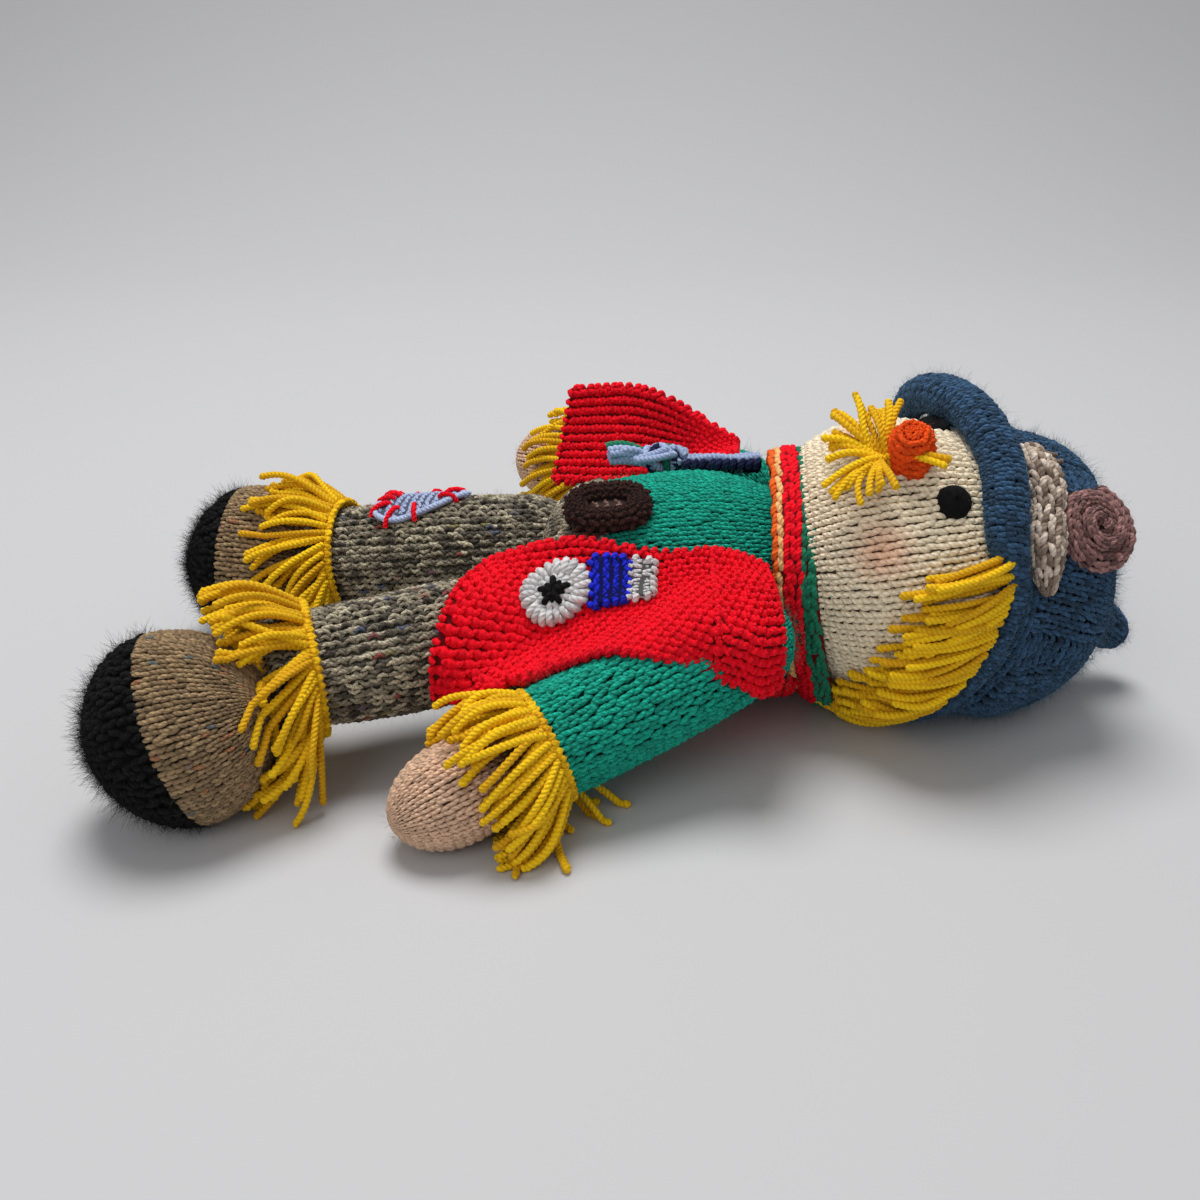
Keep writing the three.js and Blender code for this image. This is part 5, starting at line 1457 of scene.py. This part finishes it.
# Buckle
BUCKLE_TURN = 5  # degrees from the body's front
BUCKLE_ALONG = 2
BUCKLE_HALF = (6.0, 9.8)  # to the middle of its ring
BUCKLE_RING = (-4.4, 6.2)  # its inner edge, and its width
BUCKLE_HEIGHT = 3.0
BUCKLE_CENTRE_HALF = (2.6, 6.4)

buckle_out = round_axis(1, math.radians(BUCKLE_TURN), 0)
buckle_place = torso_place.place(
    np.array([0, BUCKLE_ALONG, 0]) + buckle_out * SEAT_RADIUS, (0, 1, 0), buckle_out
)


def make_buckle():
    """A squared ring of thick stitches."""
    def ring(s, t):
        angle, aside = TURN * s, BUCKLE_RING[0] + BUCKLE_RING[1] * t
        square = (np.abs(np.sin(angle)) ** 3 + np.abs(np.cos(angle)) ** 3) ** (-1 / 3)
        x = (BUCKLE_HALF[0] + aside) * np.sin(angle) * square
        y = (BUCKLE_HALF[1] + aside) * np.cos(angle) * square
        z = 0.7 + BUCKLE_HEIGHT * np.sin(np.clip(t, 0, 1) * math.pi) ** 0.6 - x**2 / 72
        return dip(buckle_place.out(xyz(x, y, z)))

    piece = Piece()
    piece.skin(ring, 40, 10, 0.8, side=-1)
    stitches(piece, ring, 20, 5, PURL, side=-1, lift=-0.4, thick=0.25, reach=(0.5, 0.95), jitter=0.08)
    piece.build("brown_buckle", "body", ["brown"], "buckle_wool", "buckle")


def make_buckle_centre():
    """The bar of knitting that shows in the ring's middle."""
    def middle(s, t):
        x, y = BUCKLE_CENTRE_HALF[0] * (1 - 2 * s), BUCKLE_CENTRE_HALF[1] * (2 * t - 1)
        return dip(buckle_place.out(xyz(x, y, 1.6)))

    piece = Piece()
    slab(piece, middle, 6, 12, thickness=1.2)
    stitches(piece, middle, 2, 4, KNIT, lift=0.0, reach=(0.5, 1.0))
    piece.build("mauve_buckle_centre", "body", ["mauve"], "buckle_centre_wool", "buckle_centre")


# Scarf
SCARF_START = -6
SCARF_WIDTH = 12.5
SCARF_THICKNESS = 3.6
WRAP_CHAINS = ((0, 1), (2, 2), (2, 3), (3, 3))  # the looks of the two legs of each chain of stitches
WRAP_STITCHES = 66
TAIL_PATH = ((48, 23.5), (36, 24), (25, 24.5))
TAIL_WIDTH = 13
TAIL_LOOKS = ("sky", "navy", "scarf_green", "red")
EDGE_STRANDS = ((-2.2, 1.8), (0.9, 1.2), (-0.8, 4.0), (2.0, 3.0))  # how far aside and up each one lies
KNOT_LOOKS = (0, 1, 0, 0, 2, 1, 0, 0)
KNOT_LOOPS = 4
FRINGE = ((0, 14), (3, 2), (2, 1))  # look, and strands
KNOT_AT = (20, 25)
KNOT_RADIUS = 4.6
WRAP_SAG = 7  # how far the wrap slips towards the head under the chin's side
SAG_BEGINS = (50, 75)  # degrees round the neck at which the sag begins, and over how many
SAG_ENDS = (300, 60)  # degrees at which it has ended, and over how many
FRINGE_LENGTH = 15


def wrap_surface(s, t):
    angle = TURN * s
    along = SCARF_START + SCARF_WIDTH * t
    degrees = np.degrees(np.mod(angle, TURN))
    grows = np.clip((degrees - SAG_BEGINS[0]) / SAG_BEGINS[1], 0, 1)
    below = grows * np.clip((SAG_ENDS[0] - degrees) / SAG_ENDS[1], 0, 1)
    along = along + WRAP_SAG * below**2 * (3 - 2 * below)
    from_centre = np.minimum(HEAD_RISE - along, HEAD_RISE)
    head_there = np.sqrt(np.maximum(HEAD_RADIUS**2 - from_centre**2, 0))
    puff = np.sin(np.clip(t, 0, 1) * math.pi)
    radius = np.maximum(head_there, CHEST_RADIUS - 0.5) + 0.9 + SCARF_THICKNESS * (0.5 + 0.5 * puff)
    return scarf_place.out(round_axis(radius, angle, along))


def make_wrap():
    looks = ["scarf_orange", "peach", "red", "scarf_green"]
    web = Piece()
    slab(web, wrap_surface, 90, 10, thickness=1.2, look=2, around=True)
    yarn = Piece()
    for column, pair in enumerate(WRAP_CHAINS):
        here = lambda i, j: i == column
        for leg, look in zip(KNIT, pair):
            stitches(yarn, sideways(wrap_surface), len(WRAP_CHAINS), WRAP_STITCHES, (leg,), here, look=look,
                     side=-1, thick=0.27, lift=0.0, reach=(0.6, 1.1), jitter=0.08)
    lay(web, yarn, "scarf_round_neck", "body", looks, "scarf_wool", "scarf_wrap")


def tail_surface(s, t):
    at = curve(TAIL_PATH)(1 - t)
    x, y = at[..., 0], at[..., 1] + TAIL_WIDTH * (s - 0.5)
    return dip(xyz(x, y, torso_tent(x, y) + SCARF_THICKNESS / 2 - CLOTH / 2))


def make_tail():
    """The end of the scarf: navy in garter stitch, with pale bars and a rolled pale edge."""
    web = Piece()
    slab(web, tail_surface, 10, 14, thickness=1.4)
    yarn = Piece()
    navy = lambda i, j: (i < 3) & (j % 3 != 1)
    pale = lambda i, j: (i == 2) & (j % 3 == 1)
    for side in (1, -1):
        for look, where in enumerate((navy, pale)):
            stitches(yarn, tail_surface, 4, 10, PURL, where, look, side, lift=-0.2, reach=(0.5, 1.0))
    edging(yarn, tail_surface, 10, "s", 0)
    share = np.linspace(-0.02, 1.02, 60)
    rolled_edge = tail_surface(np.full(60, 0.86), share)
    for k, (aside, up) in enumerate(EDGE_STRANDS):
        wave = 0.4 * np.sin(share * 9 + 2 * k)
        yarn.plied((rolled_edge + xyz(0, aside + wave, up + 0.6 * wave))[None], ABOUT_UP, 1.5, look=1)
    looks = ["navy", "sky"]
    lay(web, yarn, "scarf_end", "body", looks, "scarf_tail_wool", "scarf_tail")


def make_knot():
    x, y = KNOT_AT
    centre = dip(xyz(x, y, float(torso_tent(np.array(x), np.array(y))) - CLOTH / 2 + KNOT_RADIUS))
    knot = Piece()
    steps = np.linspace(0, 0.94, 40) * TURN
    for k, look in enumerate(KNOT_LOOKS):
        across = unit([1.0, rng.normal(0, 0.35), 0.5 * rng.normal()])
        first = unit(np.cross(across, [0.1, 0.3, 1]))
        second = np.cross(across, first)
        reach = KNOT_RADIUS * (0.78 + 0.25 * rng.random())
        middle = centre + [(k - 3.5) * 1.3, 0, 0]
        ring = middle + reach * (np.cos(steps)[:, None] * first + np.sin(steps)[:, None] * second * 0.85)
        knot.plied(ring[None], unit(ring - middle)[None], 1.25, look=look)
    share = np.linspace(0, 1, 40)
    for k in range(KNOT_LOOPS):
        side = -1.5 - 1.5 * k
        loop = xyz(
            3 + side * 0.6 - 9 * np.sin(share * math.pi) ** 1.5,
            -1.0 - 5.5 * np.sin(share * math.pi * 0.8) - 0.5 * k,
            4.2 - 1.0 * share - 1.2 * np.sin(share * math.pi),
        )
        knot.plied((centre + loop)[None], (0.01, -0.3, 1.0), 1.15)
    knot.build("scarf_tied_knot", "body", TAIL_LOOKS, "scarf_tail_wool", "scarf_knot")


def make_fringe():
    x, y = KNOT_AT
    fringe = Piece()
    for look, count in FRINGE:
        start_y = y + rng.normal(0, 1.4, count)
        end_y = y + rng.normal(0, 3.8, count)
        end_x = x - KNOT_RADIUS * 0.6 - FRINGE_LENGTH * (0.75 + 0.3 * rng.random(count))
        share = np.linspace(0, 1, 40)
        xs = (x - KNOT_RADIUS * 0.4) * (1 - share) + end_x[:, None] * share
        wave = np.sin(share * 5 + rng.random((count, 1)) * 6) * 0.4
        ys = start_y[:, None] * (1 - share) + end_y[:, None] * share + wave
        lift = 1.8 + (1.0 + 6.0 * rng.random((count, 1))) * np.sin(share * 2.1) + (1.5 if look else 0)
        fringe.plied(dip(xyz(xs, ys, torso_tent(xs, ys) - CLOTH / 2 + lift)), ABOUT_UP, 1.3, look=look)
    fringe.build("scarf_knotted_fringe", "body", TAIL_LOOKS, "scarf_tail_wool", "scarf_fringe")


# Knee patch: a heart
PATCH_ALONG = 33
PATCH_RADIUS = 15
PATCH_ASIDE = 2.4
PATCH_SIZE = (11, 12)  # stitches
HALF_HEART = ((0, -1), (0.62, -0.42), (1, 0.35), (0.83, 0.86), (0.4, 0.9), (0, 0.7))
PATCH_LOOPS = 34  # round its edge
PATCH_SEAM = 11  # red stitches


def make_patch():
    place = leg_places["right"]
    half = smooth(np.array(HALF_HEART) * PATCH_RADIUS, 8)
    outline = np.vstack([half[:-1], half[::-1] * [-1, 1]])
    middle = np.array([0, 0.1 * PATCH_RADIUS])

    def on_leg(x, y, lift):
        radius = THIGH_RADIUS + 0.6 + lift
        x = 0.84 * x + PATCH_ASIDE
        return place.out(xyz(x, PATCH_ALONG + y, np.sqrt(np.maximum(radius**2 - x**2, 1))))

    edge = curve(outline)

    def polar(s, t):
        t = t[..., None]
        flat = middle * (1 - t) + edge(np.mod(s, 1)) * t
        return on_leg(flat[..., 0], flat[..., 1], 0.6)

    def grid(s, t):
        return on_leg(PATCH_RADIUS * (2 * s - 1), PATCH_RADIUS * (1.95 * t - 1), 0.6)

    columns, rows = PATCH_SIZE
    angles = np.arctan2(*(outline - middle).T[::-1])
    reaches = np.linalg.norm(outline - middle, axis=1)
    order = np.argsort(angles)

    def inside(i, j):
        x = PATCH_RADIUS * (2 * (i + 0.5) / columns - 1) - middle[0]
        y = PATCH_RADIUS * (1.95 * (j + 0.5) / rows - 1) - middle[1]
        limit = np.interp(np.arctan2(y, x), angles[order], reaches[order], period=TURN)
        return np.hypot(x, y) < limit - 1.2

    piece = Piece()
    flip = lambda s, t: polar(1 - s, 0.02 + 0.98 * t)
    slab(piece, flip, 60, 6, thickness=1.2, around=True)
    stitches(piece, grid, columns, rows, KNIT, where=inside, side=-1, lift=-0.2, thick=0.27, reach=(0.5, 1.0))
    s = (np.arange(PATCH_LOOPS)[:, None] + 0.5) / PATCH_LOOPS + np.linspace(-0.6, 0.6, 5) / PATCH_LOOPS
    piece.tubes(polar(s, np.full(s.shape, 0.97)) + place.turn([0, 0, 0.5]), place.axes[2], 1.0)
    s = (np.arange(PATCH_SEAM) + 0.4) / PATCH_SEAM + rng.normal(0, 0.008, PATCH_SEAM)
    reach, lift = np.array([(0.62, 0.7), (0.72, 1.7), (0.88, 1.8), (1.02, 1.2), (1.08, -0.6)]).T
    lines = polar(*np.broadcast_arrays(s[:, None], reach)) + place.axes[2] * lift[:, None]
    piece.tubes(lines, place.axes[0] + 0.01, 0.85, sides=7, look=1)
    piece.build("heart_patch", "right_leg", ["patch", "red"], "patch_wool", "knee_patch")


# Snail on the hat
SNAIL_TURN = 14
SNAIL_ALONG = 12
SNAIL_PARTS = (  # the path of each part on the crown, and its radius along the path
    (((21, -9.5), (14, -9), (7, -8), (1.5, -7.5)), (4.2, 6.2, 6.3, 4.8)),
    (((1, -8), (-6, -8.5), (-13, -7.5), (-20.5, -4.5)), (5.0, 6.0, 5.0, 2.2)),
)
SNAIL_ENDS = (  # two feelers and three loose ends of yarn
    ((17, -6), (18, -3), (19.5, 1)),
    ((20, -8), (21, -4.5), (21.5, 0)),
    ((2, -9), (1, -13), (1.5, -17)),
    ((0, -9), (-1, -12), (-0.5, -16)),
    ((1, -7), (0, -11), (-1.5, -15)),
)
SHELL_RADIUS = 14.5
SHELL_ABOVE = SHELL_RADIUS * 0.55  # how far its centre lies above the snail's
SHELL_TURNS = 2.3
SHELL_THICKNESS = (1.9, 2.3, 2.5, 2.7, 2.8)  # radius of the coil, from its inner end


def hose(path, radius, hint, flat=1.0):
    """A round surface about a path."""
    line = Line(path)
    radii = curve(np.array(radius, float)[:, None])

    def surface(s, t):
        angle = TURN * s
        centre = line.at(t)
        ahead = unit(line.at(t + 0.004) - line.at(t - 0.004))
        up = unit(hint(centre) - ahead * (hint(centre) * ahead).sum(-1, keepdims=True))
        aside = np.cross(ahead, up)
        size = radii(np.clip(t, 0, 1))
        return centre + size * (np.sin(angle)[..., None] * aside + np.cos(angle)[..., None] * up * flat)

    surface.length = line.length
    return surface


snail_place = hat_place.place((0, SNAIL_ALONG, 0), round_axis(1, math.radians(SNAIL_TURN), 0), (0, 1, 0))
SNAIL_CROWN = HAT_RADIUS * 0.97 - HAT_DENT * 0.7  # the crown's radius under the snail


def on_crown(x, z, lift):
    """Points over the crown: x round it and z along it, from the snail's middle."""
    return snail_place.out(xyz(x, np.sqrt(np.maximum((SNAIL_CROWN + lift) ** 2 - x**2, 1)), z))


def out_of_crown(points):
    local, axis = points - snail_place.at, snail_place.axes[2]
    return unit(local - axis * (local @ axis)[..., None])


def make_snail_body():
    piece = Piece()
    for points, radius in SNAIL_PARTS:
        surface = hose(on_crown(*smooth(points, 8).T, 3.2), radius, out_of_crown, flat=0.62)
        piece.skin(surface, 22, 14, 0.9)
        rows = round(surface.length / 2.6)
        stitches(piece, surface, 9, rows, KNIT, lift=-0.4, reach=(0.4, 0.95), jitter=0.07)
    lines = np.stack([on_crown(*smooth(end, 6).T, 4.0) for end in SNAIL_ENDS])
    piece.tubes(lines, out_of_crown(lines), 0.8, sides=7, lobes=2, lobe_pitch=3.0)
    piece.build("snail_knitted_body", "head", ["snail"], "snail_body_wool", "snail_body")


def make_snail_shell():
    """A knitted coil that climbs towards its middle, over a dome, darkened as painted shade, that fills the
    gaps between its turns.
    """
    share = np.linspace(0, 1, 90)
    angle = -share * SHELL_TURNS * TURN + 2.2
    reach = 1.3 + (SHELL_RADIUS - 3.9) * share
    path = on_crown(reach * np.cos(angle), SHELL_ABOVE + reach * np.sin(angle), 5.6 - 4.0 * share**2)
    surface = hose(path, SHELL_THICKNESS, out_of_crown)
    piece = Piece()
    piece.skin(surface, 14, 130, 0.9)
    stitches(piece, surface, 6, round(surface.length / 2.5), KNIT, lift=-0.4, reach=(0.35, 0.8), jitter=0.07)
    fibres(piece, surface, 1500, 2.2)
    base = snail_place.place((0, SNAIL_CROWN - 3, SHELL_ABOVE), (0, 1, 0), (0, 0, 1))
    dome = [(SHELL_RADIUS - 3, -4), (SHELL_RADIUS - 2.5, 2), (SHELL_RADIUS - 6, 6), (1, 7)]
    piece.skin(revolve(base, dome), 30, 10, 0)
    piece.build("snail_coiled_shell", "head", ["shell"], "snail_shell_wool", "snail_shell")


# Camera, light and floor
VIEW_AT = (0, -344, 210)
VIEW_DOWN = 27
FOCAL_SHARE = 1287 / 1200  # of the picture's width
SENSOR = 36
# The room, in metres
FLOOR_HALF_WIDTH = 4.0
FLOOR_FRONT = -2.5
BEND_FROM = 0.55
BEND_RADIUS = 1.3
WALL_TOP = 3.4
FLOOR_SHADES = ((191, 191, 192), (196, 196, 197))
# Name, place, size and power
LAMPS = (("top_light", (-0.1, 0.3, 1.3), 0.7, 15), ("front_light", (-0.6, -0.9, 0.8), 0.8, 3))
LAMPS_AIM = (0, 0, 0.03)
ROOM_COLOUR = (0.97, 0.98, 1.0, 1)
ROOM_LIGHT = 0.38


def make_camera():
    camera = bpy.data.cameras.new("view")
    camera.sensor_width = SENSOR
    camera.lens = FOCAL_SHARE * SENSOR
    camera.clip_start = 0.01
    view = new_object("view", camera)
    view.location = (np.array(VIEW_AT) + SHIFT) * MM
    view.rotation_euler = (math.radians(90 - VIEW_DOWN), 0, 0)
    bpy.context.scene.camera = view


def floor_look():
    look = bpy.data.materials.new("pale_floor")
    look.use_nodes = True
    nodes, links = look.node_tree.nodes, look.node_tree.links
    shader = nodes["Principled BSDF"]
    noise = nodes.new("ShaderNodeTexNoise")
    noise.inputs["Scale"].default_value = 3
    ramp = nodes.new("ShaderNodeValToRGB")
    for element, shade in zip(ramp.color_ramp.elements, FLOOR_SHADES):
        element.color = linear(shade)
    links.new(noise.outputs["Fac"], ramp.inputs["Fac"])
    links.new(ramp.outputs["Color"], shader.inputs["Base Color"])
    shader.inputs["Roughness"].default_value = 0.7
    return look


def make_floor():
    """A floor that bends up into a wall far behind the doll."""
    turns = np.linspace(0, math.pi / 2, 48)
    sweep = [(BEND_FROM + BEND_RADIUS * math.sin(a), BEND_RADIUS * (1 - math.cos(a))) for a in turns]
    profile = [(FLOOR_FRONT, 0), *sweep, (BEND_FROM + BEND_RADIUS, WALL_TOP)]
    points = [(x, y, z) for x in (-FLOOR_HALF_WIDTH, FLOOR_HALF_WIDTH) for y, z in profile]
    count = len(profile)
    faces = [(i, i + count, i + count + 1, i + 1) for i in range(count - 1)]
    mesh = bpy.data.meshes.new("floor")
    mesh.from_pydata(points, [], faces)
    mesh.polygons.foreach_set("use_smooth", np.ones(len(faces), bool))
    floor = new_object("floor", mesh)
    mesh.materials.append(floor_look())


def make_lights():
    for name, at, size, power in LAMPS:
        light = bpy.data.lights.new(name, "AREA")
        light.shape = "DISK"
        light.size = size
        light.energy = power
        lamp = new_object(name, light)
        lamp.location = at
        lamp.rotation_euler = (Vector(LAMPS_AIM) - Vector(at)).to_track_quat("-Z", "Y").to_euler()
    world = bpy.data.worlds.new("room")
    world.use_nodes = True
    background = world.node_tree.nodes["Background"]
    background.inputs["Color"].default_value = ROOM_COLOUR
    background.inputs["Strength"].default_value = ROOM_LIGHT
    bpy.context.scene.world = world
    bpy.context.scene.view_settings.view_transform = "Standard"


make_camera()
make_floor()
make_lights()
make_torso()
make_seat()
for limb_side in ("left", "right"):
    make_leg(limb_side)
    make_boot(limb_side)
    make_sole(limb_side)
    make_straw(limb_side)
    make_sleeve(limb_side)
    make_hand(limb_side)
make_head()
make_eyes()
make_nose()
make_moustache()
make_crown()
make_brim()
make_tip()
make_hair()
make_snail_body()
make_snail_shell()
make_left_cloth()
make_right_front()
make_back()
make_disc()
make_star()
make_ribbons()
make_buckle()
make_buckle_centre()
make_wrap()
make_tail()
make_knot()
make_fringe()
make_patch()
